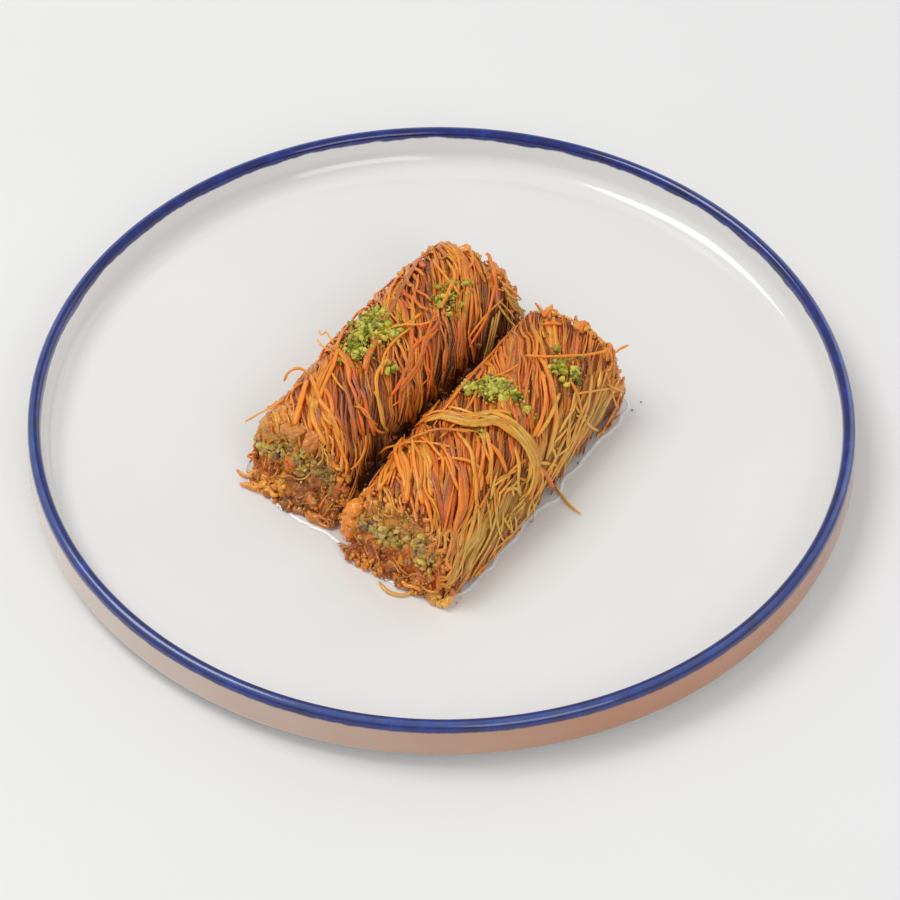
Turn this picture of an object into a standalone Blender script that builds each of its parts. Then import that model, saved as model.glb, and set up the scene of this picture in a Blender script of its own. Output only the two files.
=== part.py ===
"""Shredded-pastry baklava on its plate: two pistachio-filled rolls lying side by side on a low-walled round plate.

Metres, +Z up. The origin is the centre of the plate's foot, on the surface that the plate stands on.
"""

import math
import random

import bmesh
import bpy
from mathutils import Matrix, Vector

MM = 0.001

# Plate, in millimetres: radius r and height z of the turned profile
PLATE_STEPS = 64
RIM_RADIUS = 105.0
RIM_HEIGHT = 14.0
BELLY_RADIUS = 105.7
LIP_RADIUS = 1.6
FLOOR_RADIUS = 96.4
FLOOR_HEIGHT = 4.2
FLOOR_FILLET = 5.0
CORNER_FILLET = 3.2
CORNER_BOTTOM = 2.2
FOOT_OUTER = 72.0
FOOT_WIDTH = 4.0
FOOT_SLOPE = 0.7
UNDERSIDE_HEIGHT = 1.0
BLUE_BAND = 2.3

# Rolls, in millimetres. Across runs from a roll's left side to its right side, along from its front end to its back
REST_GAP = 0.3
NODE_GAP = 0.3
LOAF_POWER = 2.6
SECTION_POINTS = 22
UPPER_SHARE = 0.77
LOAF_STATIONS = (-1.0, -0.85, -0.6, -0.3, 0.0, 0.3, 0.6, 0.85, 1.0)
ROLLS = {
    "roll_left": {
        "centre": (-13.0, 9.4),
        "heading": 55.8,
        "length": 74.5,
        "width": 32.0,
        "height": 25.0,
        "front_drop": 0.17,
        "front_slump": 5.5,
        "left_tuck": 3.2,
        "filling_level": (0.50, 0.53),
        "filling_half": (1.9, 3.7),
        "phase": 0.6,
        "seed": 11,
        "crumbs": ((-3.5, -3.0, 4.6, 12), (4.0, 1.0, 3.0, 3), (20.0, 6.8, 3.6, 5), (-9.7, 9.0, 2.5, 1)),
    },
    "roll_right": {
        "centre": (12.0, -16.5),
        "heading": 56.6,
        "length": 76.0,
        "width": 33.0,
        "height": 25.5,
        "front_drop": 0.14,
        "front_slump": 3.5,
        "left_tuck": 0.0,
        "filling_level": (0.49, 0.58),
        "filling_half": (2.1, 4.6),
        "phase": 2.4,
        "seed": 31,
        "crumbs": ((5.0, -0.5, 3.6, 11), (2.5, -7.5, 3.0, 3), (22.0, 8.5, 3.4, 5), (-8.5, 3.4, 2.2, 2)),
    },
}

# Strands of pastry: they wind round the roll, leaning towards its front end as they cross from left to right
STRAND_RADIUS = 0.5
STRAND_PITCH = 4.9
STRAND_LIFT = 0.34
STRAND_SINK = -0.75
STRAND_POINT_SPACING = 6.8
SIDE_LEAN = math.tan(math.radians(26))
TOP_LEAN = math.tan(math.radians(43))
LEAST_STRAND = 14.0
STUBS_PER_END = 11
STUB_RADIUS = 0.55

# Filling: a slab of crushed nuts, thin at its left edge and thick at its right, open to the roll's left side
FILLING_LEFT = -0.86
FILLING_RIGHT = 0.70
FILLING_POWER = 0.75
FILLING_POINTS = 12
FILLING_STATIONS = (-1.0, -0.85, -0.5, 0.0, 0.5, 0.85, 1.0)
SLOT_REACH = 8.0
GRAIN_RADII = (0.9, 1.5)
GRAINS_PER_END = 9
CRUMB_RADII = (0.7, 1.15)

GLAZE_WHITE = (0.86, 0.85, 0.82)
GLAZE_BLUE = (0.018, 0.035, 0.26)
PASTRY_GOLD = (0.66, 0.25, 0.045)
NUT_GREEN = (0.30, 0.27, 0.04)


def clear_scene():
    for obj in list(bpy.data.objects):
        bpy.data.objects.remove(obj)


def new_collection(name, helper=False):
    collection = bpy.data.collections.new(name)
    bpy.context.scene.collection.children.link(collection)
    collection.hide_render = helper
    return collection


def material(name, colour, roughness):
    made = bpy.data.materials.new(name)
    made.use_nodes = True
    shader = made.node_tree.nodes["Principled BSDF"]
    shader.inputs["Base Color"].default_value = (*colour, 1.0)
    shader.inputs["Roughness"].default_value = roughness
    shader.inputs["Metallic"].default_value = 0.0
    return made


def add_object(name, data, collection):
    obj = bpy.data.objects.new(name, data)
    collection.objects.link(obj)
    return obj


def mesh_from(bm, name):
    bmesh.ops.recalc_face_normals(bm, faces=bm.faces)
    mesh = bpy.data.meshes.new(name)
    bm.to_mesh(mesh)
    bm.free()
    return mesh


def evaluated_mesh(obj):
    bpy.context.view_layer.update()
    graph = bpy.context.evaluated_depsgraph_get()
    return bpy.data.meshes.new_from_object(obj.evaluated_get(graph))


def arc(centre_r, centre_z, radius, start, end, steps):
    """Points of an arc in the profile's plane, from angle start to angle end in degrees."""
    angles = [math.radians(start + (end - start) * i / steps) for i in range(steps + 1)]
    return [(centre_r + radius * math.cos(a), centre_z + radius * math.sin(a)) for a in angles]


def plate_profile():
    """From the middle of the floor out to the wall, over the lip, down outside and back under the foot."""
    lip = arc(RIM_RADIUS - LIP_RADIUS, RIM_HEIGHT - LIP_RADIUS, LIP_RADIUS, 180, 0, 4)
    floor_edge = arc(FLOOR_RADIUS, FLOOR_HEIGHT + FLOOR_FILLET, FLOOR_FILLET, -90, -8, 3)
    corner = arc(BELLY_RADIUS - CORNER_FILLET, CORNER_BOTTOM + CORNER_FILLET, CORNER_FILLET, 0, -84, 3)
    foot = [
        (FOOT_OUTER + FOOT_SLOPE, UNDERSIDE_HEIGHT),
        (FOOT_OUTER, 0.0),
        (FOOT_OUTER - FOOT_WIDTH, 0.0),
        (FOOT_OUTER - FOOT_WIDTH - FOOT_SLOPE, UNDERSIDE_HEIGHT),
    ]
    return [(0.0, FLOOR_HEIGHT), *floor_edge, *lip, *corner, *foot, (0.0, UNDERSIDE_HEIGHT)]


def make_plate(collection, white, blue):
    mesh = bpy.data.meshes.new("plate_profile")
    points = [(r * MM, 0.0, z * MM) for r, z in plate_profile()]
    mesh.from_pydata(points, [(i, i + 1) for i in range(len(points) - 1)], [])
    turned = add_object("plate_profile", mesh, collection)
    screw = turned.modifiers.new("turn", "SCREW")
    screw.axis = "Z"
    screw.steps = screw.render_steps = PLATE_STEPS
    screw.use_merge_vertices = True
    screw.merge_threshold = 0.00005
    plate = add_object("plate", evaluated_mesh(turned), collection)
    bpy.data.objects.remove(turned)
    plate.data.materials.clear()
    plate.data.materials.append(white)
    plate.data.materials.append(blue)
    for face in plate.data.polygons:
        face.material_index = int(face.center.z > (RIM_HEIGHT - BLUE_BAND) * MM)
    plate.data.shade_smooth()
    plate.data.set_sharp_from_angle(angle=math.radians(40))
    return plate


def section_size(roll, along):
    """Width and height of the roll where along runs from -1 at the front end to 1 at the back."""
    wave = 0.03 * math.sin(4.2 * along + roll["phase"])
    front = max(0.0, -along) ** 3
    back = max(0.0, along) ** 4
    width = roll["width"] * (1 + wave)
    height = roll["height"] * (1 + 0.6 * wave - roll["front_drop"] * front - 0.03 * back)
    return width, height


def outline_point(roll, along, angle):
    """Point of the loaf-shaped section: angle runs from pi at the left foot over the top to 0 at the right foot."""
    width, height = section_size(roll, along)
    c, s = math.cos(angle), max(0.0, math.sin(angle))
    across = width / 2 * math.copysign(abs(c) ** (2 / LOAF_POWER), c)
    return across, height * s ** (2 / LOAF_POWER)


def placed(roll, along, across, up):
    """World point of a point inside the roll: the front face leans back and the front left foot is tucked in."""
    width, height = section_size(roll, along)
    low = 1 - up / height
    front = max(0.0, -along) ** 3
    s = along * roll["length"] / 2 - roll["front_slump"] * front * low
    across += roll["left_tuck"] * front * low**2 * max(0.0, -across / (width / 2))
    turn = math.radians(roll["heading"])
    x = roll["centre"][0] + s * math.cos(turn) + across * math.sin(turn)
    y = roll["centre"][1] + s * math.sin(turn) - across * math.cos(turn)
    return Vector((x, y, FLOOR_HEIGHT + REST_GAP + up)) * MM


def angle_table(roll):
    """Angles of the section at even steps of arc length from the left foot to the right foot, and that length."""
    steps = 400
    angles = [math.pi * (1 - i / steps) for i in range(steps + 1)]
    points = [outline_point(roll, 0.0, angle) for angle in angles]
    lengths = [0.0]
    for before, after in zip(points, points[1:]):
        lengths.append(lengths[-1] + math.dist(before, after))
    return angles, lengths


def angle_at(table, share):
    """Section angle at a share of the way round, from 0 at the left foot to 1 at the right foot."""
    angles, lengths = table
    wanted = min(max(share, 0.0), 1.0) * lengths[-1]
    index = next(i for i, length in enumerate(lengths) if length >= wanted)
    return angles[index]


def surface_point(roll, table, along, share, lift):
    """World point this far above the roll's surface, a share of the way round its section."""
    angle = angle_at(table, share)
    across, up = outline_point(roll, along, angle)
    ahead, behind = angle_at(table, share + 0.01), angle_at(table, share - 0.01)
    (x0, z0), (x1, z1) = outline_point(roll, along, behind), outline_point(roll, along, ahead)
    size = math.hypot(x1 - x0, z1 - z0)
    return placed(roll, along, across + lift * (z0 - z1) / size, up + lift * (x1 - x0) / size)


def shaped_cylinder(name, points, stations, shape, collection):
    """A cylinder primitive along a roll, cut across at each station, with each vertex moved by shape."""
    bm = bmesh.new()
    reach = stations[-1]
    bmesh.ops.create_cone(bm, cap_ends=True, segments=points, radius1=1, radius2=1, depth=2 * reach)
    for station in stations[1:-1]:
        geometry = bm.verts[:] + bm.edges[:] + bm.faces[:]
        cut = (0, 0, station)
        bmesh.ops.bisect_plane(bm, geom=geometry, plane_co=cut, plane_no=(0, 0, 1), dist=1e-5)
    for vertex in bm.verts:
        angle = math.atan2(vertex.co.y, vertex.co.x) % math.tau
        vertex.co = shape(angle, vertex.co.z)
    return add_object(name, mesh_from(bm, name), collection)


def make_loaf(name, roll, table, collection):
    def shape(angle, along):
        turn = angle / math.tau
        if turn <= UPPER_SHARE:
            across, up = outline_point(roll, along, angle_at(table, 1 - turn / UPPER_SHARE))
        else:
            width = section_size(roll, along)[0]
            across, up = width * ((turn - UPPER_SHARE) / (1 - UPPER_SHARE) - 0.5), 0.0
        return placed(roll, along, across, up)

    return shaped_cylinder(name, SECTION_POINTS, LOAF_STATIONS, shape, collection)


def filling_middle(roll, along, across):
    """Height of the middle of the filling at a place across the roll, and half its thickness there."""
    width, height = section_size(roll, along)
    share = (across / (width / 2) - FILLING_LEFT) / (FILLING_RIGHT - FILLING_LEFT)
    share = min(max(share, 0.0), 1.0)
    (left_level, right_level), (left_half, right_half) = roll["filling_level"], roll["filling_half"]
    middle = height * (left_level + (right_level - left_level) * share)
    return middle, left_half + (right_half - left_half) * share


def filling_section(roll, along, angle, grown, left_reach=0.0):
    """Point of the filling's outline, grown outwards, with its left half drawn out by left_reach."""
    width = section_size(roll, along)[0]
    left = FILLING_LEFT * width / 2 - grown
    right = FILLING_RIGHT * width / 2 + grown
    c, s = math.cos(angle), math.sin(angle)
    sideways = math.copysign(abs(c) ** FILLING_POWER, c)
    across = (left + right) / 2 + (right - left) / 2 * sideways
    middle, half = filling_middle(roll, along, across)
    up = middle + (half + grown) * math.copysign(abs(s) ** FILLING_POWER, s)
    return across + left_reach * min(0.0, sideways), up


def make_filling(name, roll, collection):
    def shape(angle, along):
        return placed(roll, along, *filling_section(roll, along, angle, 0.0))

    return shaped_cylinder(name, FILLING_POINTS, FILLING_STATIONS, shape, collection)


def make_slot(name, roll, collection):
    """Cutter for the filling's space, run out through both ends and the left side."""
    def shape(angle, along):
        return placed(roll, along, *filling_section(roll, along, angle, NODE_GAP, SLOT_REACH))

    stations = (-1.2, *FILLING_STATIONS, 1.2)
    slot = shaped_cylinder(name, FILLING_POINTS, stations, shape, collection)
    slot.hide_render = True
    slot.display_type = "WIRE"
    return slot


def make_tube(name, points, radius, collection):
    """A strand: a curve with four sides and welded caps, made a mesh so that it can be joined."""
    curve = bpy.data.curves.new(name, "CURVE")
    curve.dimensions = "3D"
    curve.bevel_depth = radius * MM
    curve.bevel_resolution = 0
    curve.use_fill_caps = True
    spline = curve.splines.new("POLY")
    spline.points.add(len(points) - 1)
    for target, point in zip(spline.points, points):
        target.co = (*point, 1.0)
    guide = add_object(name + "_curve", curve, collection)
    mesh = evaluated_mesh(guide)
    bpy.data.objects.remove(guide)
    bm = bmesh.new()
    bm.from_mesh(mesh)
    bmesh.ops.remove_doubles(bm, verts=bm.verts, dist=0.00001)
    bpy.data.meshes.remove(mesh)
    return add_object(name, mesh_from(bm, name), collection)


def make_grain(name, centre, radius, draw, collection):
    """A crushed nut: a squashed twenty-sided ball."""
    bm = bmesh.new()
    bmesh.ops.create_icosphere(bm, subdivisions=1, radius=radius * MM)
    stretch = Matrix.Diagonal((draw.uniform(0.8, 1.2), draw.uniform(0.75, 1.1), draw.uniform(0.7, 1.0), 1))
    turn = Matrix.Rotation(draw.uniform(0, math.tau), 4, Vector([draw.uniform(-1, 1) for _ in range(3)]))
    bmesh.ops.transform(bm, matrix=Matrix.Translation(centre) @ turn @ stretch, verts=bm.verts)
    return add_object(name, mesh_from(bm, name), collection)


def lean_shift(share, arc_length):
    """How far towards the front end a strand has moved by this share of the way round from the top."""
    bend = (share - 0.5) / 2 - math.sin(math.tau * share) / (4 * math.pi)
    return arc_length * (SIDE_LEAN * (share - 0.5) + (TOP_LEAN - SIDE_LEAN) * bend)


def strand_points(roll, table, middle, first, last, draw):
    """Points of a strand that crosses the top at middle, for the part that lies on the roll."""
    arc_length = table[1][-1]
    half = roll["length"] / 2
    steps = math.ceil(arc_length * (last - first) / STRAND_POINT_SPACING)
    drift, ripple = draw.uniform(-1.2, 1.2), draw.uniform(0, math.tau)
    reach = draw.uniform(-0.5, 1.3)
    found = []
    for i in range(steps + 1):
        share = first + (last - first) * i / steps
        s = middle - lean_shift(share, arc_length) + drift * math.sin(3 * share + ripple)
        if abs(s) <= half + reach:
            found.append((s / half, share))
    ends = (0, len(found) - 1)
    lifts = [STRAND_SINK if i in ends else STRAND_LIFT + draw.uniform(-0.08, 0.12) for i in range(len(found))]
    lifts = [lift if abs(along) < 0.97 else STRAND_LIFT for lift, (along, _) in zip(lifts, found)]
    return [surface_point(roll, table, along, share, lift) for lift, (along, share) in zip(lifts, found)]


def path_length(points):
    return sum((b - a).length for a, b in zip(points, points[1:]))


def add_strands(name, roll, table, draw, collection):
    """Strands at an even pitch along the roll, and past both ends as far as the leaning ones still reach it."""
    reach = roll["length"] / 2 + lean_shift(1.0, table[1][-1])
    count = int(2 * reach / STRAND_PITCH)
    for i in range(count):
        middle = -reach + (i + 0.5) * STRAND_PITCH + draw.uniform(-0.5, 0.5)
        first, last = draw.uniform(0.05, 0.12), draw.uniform(0.90, 0.96)
        points = strand_points(roll, table, middle, first, last, draw)
        if len(points) > 2 and path_length(points) > LEAST_STRAND * MM:
            make_tube(f"{name}_strand_{i}", points, STRAND_RADIUS * draw.uniform(0.85, 1.2), collection)


def in_filling(roll, along, across, up, margin):
    middle, half = filling_middle(roll, along, across)
    right = FILLING_RIGHT * section_size(roll, along)[0] / 2
    return across < right + margin and abs(up - middle) < half + margin


def add_stubs(name, roll, draw, collection):
    """Cut ends of strands that stand out of both end faces, clear of the filling."""
    for end in (-1, 1):
        width, height = section_size(roll, end)
        made = 0
        while made < STUBS_PER_END:
            angle, depth = draw.uniform(0.15, math.pi - 0.15), draw.uniform(0.25, 0.9)
            across, top = outline_point(roll, end, angle)
            across, up = across * depth, max(1.2, top * depth)
            if in_filling(roll, end, across, up, STUB_RADIUS + 1.3):
                continue
            lean = (draw.uniform(-1.2, 1.2), draw.uniform(-1.0, 0.6))
            start = placed(roll, end * 0.94, across, up)
            tip = placed(roll, end * draw.uniform(1.02, 1.045), across + lean[0], max(0.9, up + lean[1]))
            make_tube(f"{name}_stub_{end}_{made}", [start, tip], STUB_RADIUS, collection)
            made += 1


def add_crumbs(name, roll, table, draw, collection):
    """Ground pistachio on top, in the heaps that the roll's crumbs give as place, spread and count."""
    half, arc_length = roll["length"] / 2, table[1][-1]
    for heap, (s, across, spread, count) in enumerate(roll["crumbs"]):
        for i in range(count):
            turn, far = draw.uniform(0, math.tau), spread * math.sqrt(draw.random())
            along = (s + far * math.cos(turn)) / half
            share = 0.5 + (across + far * math.sin(turn)) / arc_length
            centre = surface_point(roll, table, along, share, draw.uniform(0.35, 0.8))
            make_grain(f"{name}_crumb_{heap}_{i}", centre, draw.uniform(*CRUMB_RADII), draw, collection)


def add_grains(name, roll, draw, collection):
    """Nut grains that stand out of the filling at both ends, kept off the slot's walls."""
    for end in (-1, 1):
        width = section_size(roll, end)[0]
        for i in range(GRAINS_PER_END):
            radius = draw.uniform(*GRAIN_RADII)
            share = 0.08 + 0.82 * (i + draw.uniform(0.2, 0.8)) / GRAINS_PER_END
            across = width / 2 * (FILLING_LEFT + (FILLING_RIGHT - FILLING_LEFT) * share)
            middle, half = filling_middle(roll, end, across)
            room = max(0.0, half - radius * 1.1)
            along = end * (1 + 0.35 * radius / (roll["length"] / 2))
            centre = placed(roll, along, across, middle + draw.uniform(-room, room))
            make_grain(f"{name}_grain_{end}_{i}", centre, radius * 0.85, draw, collection)


def keep_main_body(obj):
    """Drops loose scraps and fills sealed hollows: only the largest connected surface stays."""
    bm = bmesh.new()
    bm.from_mesh(obj.data)
    left, bodies = set(bm.verts), []
    while left:
        body, edge = set(), [left.pop()]
        while edge:
            vertex = edge.pop()
            body.add(vertex)
            near = {other for e in vertex.link_edges for other in e.verts} & left
            left -= near
            edge.extend(near)
        bodies.append(body)
    largest = max(bodies, key=len)
    loose = [vertex for body in bodies if body is not largest for vertex in body]
    bmesh.ops.delete(bm, geom=loose, context="VERTS")
    bm.to_mesh(obj.data)
    bm.free()


def join_pieces(obj, pieces):
    """Fuses the collection's pieces into obj and removes them."""
    union = obj.modifiers.new("join", "BOOLEAN")
    union.operation = "UNION"
    union.operand_type = "COLLECTION"
    union.collection = pieces
    union.solver = "MANIFOLD"
    joined = evaluated_mesh(obj)
    obj.modifiers.clear()
    obj.data = joined
    for piece in list(pieces.objects):
        bpy.data.objects.remove(piece)
    bpy.data.collections.remove(pieces)
    keep_main_body(obj)


def cut(obj, cutter):
    difference = obj.modifiers.new("cut", "BOOLEAN")
    difference.operation = "DIFFERENCE"
    difference.object = cutter
    difference.solver = "EXACT"
    shaped = evaluated_mesh(obj)
    obj.modifiers.clear()
    obj.data = shaped
    bpy.data.objects.remove(cutter)


def make_roll(name, roll, collection, pastry_material, nut_material):
    draw = random.Random(roll["seed"])
    table = angle_table(roll)
    pastry = make_loaf(f"{name}_pastry", roll, table, collection)
    cut(pastry, make_slot(f"{name}_slot", roll, collection))
    strands = new_collection(f"{name}_strands", helper=True)
    add_strands(name, roll, table, draw, strands)
    add_stubs(name, roll, draw, strands)
    add_crumbs(name, roll, table, draw, strands)
    join_pieces(pastry, strands)
    filling = make_filling(f"{name}_filling", roll, collection)
    grains = new_collection(f"{name}_grains", helper=True)
    add_grains(name, roll, draw, grains)
    join_pieces(filling, grains)
    for obj, finish in ((pastry, pastry_material), (filling, nut_material)):
        obj.data.materials.clear()
        obj.data.materials.append(finish)
        obj.data.shade_smooth()
        obj.data.set_sharp_from_angle(angle=math.radians(35))


def main():
    clear_scene()
    baklava = new_collection("baklava")
    white = material("glaze_white", GLAZE_WHITE, 0.12)
    blue = material("glaze_blue", GLAZE_BLUE, 0.15)
    pastry = material("pastry", PASTRY_GOLD, 0.38)
    nuts = material("pistachio", NUT_GREEN, 0.5)
    make_plate(baklava, white, blue)
    for name, roll in ROLLS.items():
        make_roll(name, roll, baklava, pastry, nuts)


main()
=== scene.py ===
"""Looks for the shredded-pastry baklava on its plate.

Two rolls of wound pastry strands lie side by side on a low-walled plate with a blue lip. Sizes are in
millimetres until a mesh is made, in the same frame as the solids.
"""

import math
from dataclasses import dataclass

import bmesh
import bpy
import numpy as np
from mathutils import Matrix, Vector


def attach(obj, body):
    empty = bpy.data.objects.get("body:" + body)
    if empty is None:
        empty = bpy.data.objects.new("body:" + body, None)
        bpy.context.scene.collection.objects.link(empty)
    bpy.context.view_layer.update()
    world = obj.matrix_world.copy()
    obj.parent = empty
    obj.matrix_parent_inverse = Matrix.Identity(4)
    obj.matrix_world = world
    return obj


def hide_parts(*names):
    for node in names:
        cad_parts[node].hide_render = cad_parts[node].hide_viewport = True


MM = 0.001
TAU = math.tau

# Plate: radius and height of the turned profile, as in the solids
RIM_RADIUS = 105.0
RIM_HEIGHT = 14.0
BELLY_RADIUS = 105.65
LIP_RADIUS = 1.6
FLOOR_RADIUS = 96.4
FLOOR_HEIGHT = 4.2
FLOOR_FILLET = 5.0
CORNER_FILLET = 3.2
CORNER_BOTTOM = 2.2
FOOT_OUTER = 72.0
FOOT_WIDTH = 4.0
UNDERSIDE_HEIGHT = 1.0
BLUE_BAND = 2.3

# Rolls, as in the solids
LOAF_POWER = 2.6
ROLL_BOTTOM = 4.5
FILLING_LEFT = -0.86
FILLING_RIGHT = 0.70
FILLING_POWER = 0.75
LOOSEST_LIFT = 1.9
TOP_HEIGHT = 32.2

# The least height of a strand's middle line over the plate's floor
CLEARANCE = 0.3
UPRIGHT = (0.0, 0.0, 1.0)

# The edge of the syrup pool on the plate, counter-clockwise, in mm
SYRUP_SHORE = (
    (7.2, -56.4), (11.6, -49.6), (17.3, -41.3), (22.4, -32.7), (26.8, -26.2), (30.0, -26.2), (31.2, -22.6),
    (30.8, -19.6), (34.5, -14.4), (39.2, -7.8), (43.8, -1.2), (47.3, 3.4), (49.0, 7.0), (48.8, 11.0),
    (44.5, 13.5), (38.5, 17.3), (31.5, 22.0), (25.5, 27.5), (23.0, 33.5), (16.5, 38.5), (8.5, 44.0),
    (-1.0, 50.4), (-8.5, 50.0), (-18.3, 33.9), (-26.3, 21.9), (-35.5, 8.0), (-45.3, -6.8), (-50.6, -14.0),
    (-49.4, -19.7), (-44.0, -26.3), (-35.4, -33.5), (-28.6, -38.3), (-24.5, -41.0), (-20.9, -45.8),
    (-14.5, -52.1), (-8.3, -55.2), (-2.2, -58.0), (3.9, -59.0),
)

CAMERA_TARGET = (2.21, -4.51, 0.0)
CAMERA_DISTANCE = 820.59
CAMERA_PITCH = 47.289
CAMERA_ROLL = 0.789
CAMERA_LENS = 128.0


def waves(points, wavelength, seed, count=8):
    """A smooth bumpy function of place, about -1 to 1, with features about a wavelength apart."""
    draw = np.random.default_rng(seed)
    heading = draw.normal(size=(count, points.shape[-1]))
    heading /= np.linalg.norm(heading, axis=1, keepdims=True)
    steps = heading * (draw.uniform(0.65, 1.5, (count, 1)) * TAU / wavelength)
    phase = draw.uniform(0, TAU, count)
    return np.sin(points @ steps.T + phase).sum(-1) / math.sqrt(count)


def ripple(t, draw, turns=2.0):
    """A smooth random curve over t from 0 to 1, about -1 to 1."""
    total = np.zeros_like(t)
    for k in (1, 2, 3):
        total += draw.normal() / k * np.sin(TAU * turns * k * t / 2 + draw.uniform(0, TAU))
    return total / 1.3


def normalised(vectors):
    return vectors / np.maximum(np.linalg.norm(vectors, axis=-1, keepdims=True), 1e-9)


def unit(value):
    return np.clip(value, 0, 1)


def rise(value, start, reach):
    """0 before start, then up to 1 over reach, which is negative where it rises the other way."""
    return unit((value - start) / reach)


def near(draw, value, spread):
    """A random value from 0 to 1, near the one given."""
    return unit(value + draw.normal() * spread)


def small_first(draw, sizes, power=2):
    """A random size between two, most often near the smaller one."""
    return sizes[0] + (sizes[1] - sizes[0]) * draw.random() ** power


@dataclass(eq=False)
class Roll:
    """A loaf-shaped roll. Its place is s, in mm from its middle towards its back end, share, the way round
    from its left foot (0) over the top to its right foot (1), and lift, in mm above its surface."""

    name: str
    centre: tuple
    turn: float  # degrees
    length: float
    width: float
    height: float
    front_drop: float
    front_slump: float
    left_tuck: float
    level: tuple  # of the filling's middle at its left and right edges, as shares of the height
    thick: tuple  # half the filling's thickness there, in mm
    phase: float
    side_lean: float
    top_lean: float
    tints: tuple  # s, share, reach in mm and change of tone of each browner or brighter patch
    seed: int

    def __post_init__(self):
        self.heading = math.radians(self.turn)
        self.half = self.length / 2
        self.angles = np.linspace(math.pi, 0, 401)
        across, up = self._outline(self.angles, np.zeros(1))
        lengths = np.hypot(np.diff(across), np.diff(up))
        self.lengths = np.concatenate([[0], np.cumsum(lengths)])
        self.arc = self.lengths[-1]

    def size(self, along):
        wave = 0.03 * np.sin(4.2 * along + self.phase)
        front = np.maximum(0, -along) ** 3
        back = np.maximum(0, along) ** 4
        height = self.height * (1 + 0.6 * wave - self.front_drop * front - 0.03 * back)
        return self.width * (1 + wave), height

    def _outline(self, angle, along):
        width, height = self.size(along)
        c, s = np.cos(angle), np.maximum(0, np.sin(angle))
        across = width / 2 * np.sign(c) * np.abs(c) ** (2 / LOAF_POWER)
        return across, height * s ** (2 / LOAF_POWER)

    def outline(self, along, share):
        angle = np.interp(np.clip(share, 0, 1) * self.arc, self.lengths, self.angles)
        return self._outline(angle, along)

    def place(self, along, across, up):
        """World points, in mm: the front face leans back and the front left foot is tucked in."""
        width, height = self.size(along)
        low = 1 - up / height
        front = np.maximum(0, -along) ** 3
        s = along * self.half - self.front_slump * front * low
        across = across + self.left_tuck * front * low**2 * np.maximum(0, -across / (width / 2))
        ca, sa = math.cos(self.heading), math.sin(self.heading)
        x = self.centre[0] + s * ca + across * sa
        y = self.centre[1] + s * sa - across * ca
        return np.stack(np.broadcast_arrays(x, y, ROLL_BOTTOM + up), -1)

    def on(self, s, share, lift):
        """World points above the surface, in mm."""
        along = np.asarray(s) / self.half
        across, up = self.outline(along, share)
        x0, z0 = self.outline(along, share - 0.01)
        x1, z1 = self.outline(along, share + 0.01)
        size = np.maximum(np.hypot(x1 - x0, z1 - z0), 1e-6)
        return self.place(along, across + lift * (z0 - z1) / size, up + lift * (x1 - x0) / size)

    def out(self, s, share):
        """Unit vectors straight out of the surface."""
        return normalised(self.on(s, share, 1.0) - self.on(s, share, 0.0))

    def lean_shift(self, share, lean=1.0):
        """How far a strand has moved towards the front end by this share of the way round, from the top."""
        bend = (share - 0.5) / 2 - np.sin(TAU * share) / (4 * math.pi)
        side, top = math.tan(self.side_lean * lean), math.tan(self.top_lean * lean)
        return self.arc * (side * (share - 0.5) + (top - side) * bend)

    def field(self, s, share, wavelength, step):
        """A smooth bumpy function of the place on the surface."""
        place = np.stack(np.broadcast_arrays(s, share * self.arc), -1)
        return waves(place, wavelength, self.seed + step)

    def drift(self, s, share):
        """How far strands at a place are pushed along the roll together, which gathers them in locks."""
        return 1.3 * self.field(s, 0.4 * share, 22.0, 20) + 0.5 * self.field(s, 0.4 * share, 8.0, 21)

    def brightness(self, share):
        """Painted shade: a factor on the tone that darkens strands towards the gap between the rolls, where
        shade falls.
        """
        if self is LEFT:
            return 1 - 0.38 * rise(share, 0.7, 0.14)
        return 1 - 0.45 * rise(share, 0.22, -0.12)

    def patches(self, s, share):
        """Where the strands are browner or brighter than elsewhere."""
        change = 0.1 * self.field(s, share, 15.0, 24)
        for middle, around, reach, amount in self.tints:
            away = (s - middle) ** 2 + ((share - around) * self.arc) ** 2
            change = change + amount * np.exp(-away / reach**2)
        return change

    def shoulder(self, s):
        """How much lower the surface is near the ends, where the edges of the cut faces are worn round."""
        worn = 1.1 * rise(np.abs(s), self.half - 3.0, 3.0) ** 2
        return worn + 0.5 * np.maximum(0, s - self.half + 2.0)

    def bare(self, s, share):
        """Where a roll has no strands: its matted front left corner, and the left roll's foot in the gap."""
        if self is LEFT:
            hem = 0.85 + 0.05 * waves(np.stack(np.broadcast_arrays(s, 3.0), -1), 5.0, self.seed + 25)
            return (s < -31.5) & (share > 0.17) & (share < 0.34) | (s < 27) & (share > hem)
        return (s < -34.0) & (share < 0.3)

    def flare(self, up, end):
        """How far the soaked foot of a cut face runs out over the plate."""
        most = 1.0 if end > 0 else (3.0 if self is LEFT else 2.2)
        return most * unit(1 - up / 5.0)

    def swell(self, s, share):
        """How far the strands at a place stand out, from -1 to 1."""
        return self.field(s, share, 9.0, 22)

    def filling_middle(self, along, across):
        """Height of the middle of the filling at a place across the roll, and half its thickness there."""
        width, height = self.size(along)
        share = rise(across / (width / 2), FILLING_LEFT, FILLING_RIGHT - FILLING_LEFT)
        middle = height * (self.level[0] + (self.level[1] - self.level[0]) * share)
        return middle, self.thick[0] + (self.thick[1] - self.thick[0]) * share

    def in_filling(self, along, across, up, margin):
        middle, half = self.filling_middle(along, across)
        right = FILLING_RIGHT * self.size(along)[0] / 2
        return (across < right + margin) & (np.abs(up - middle) < half + margin)


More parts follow.
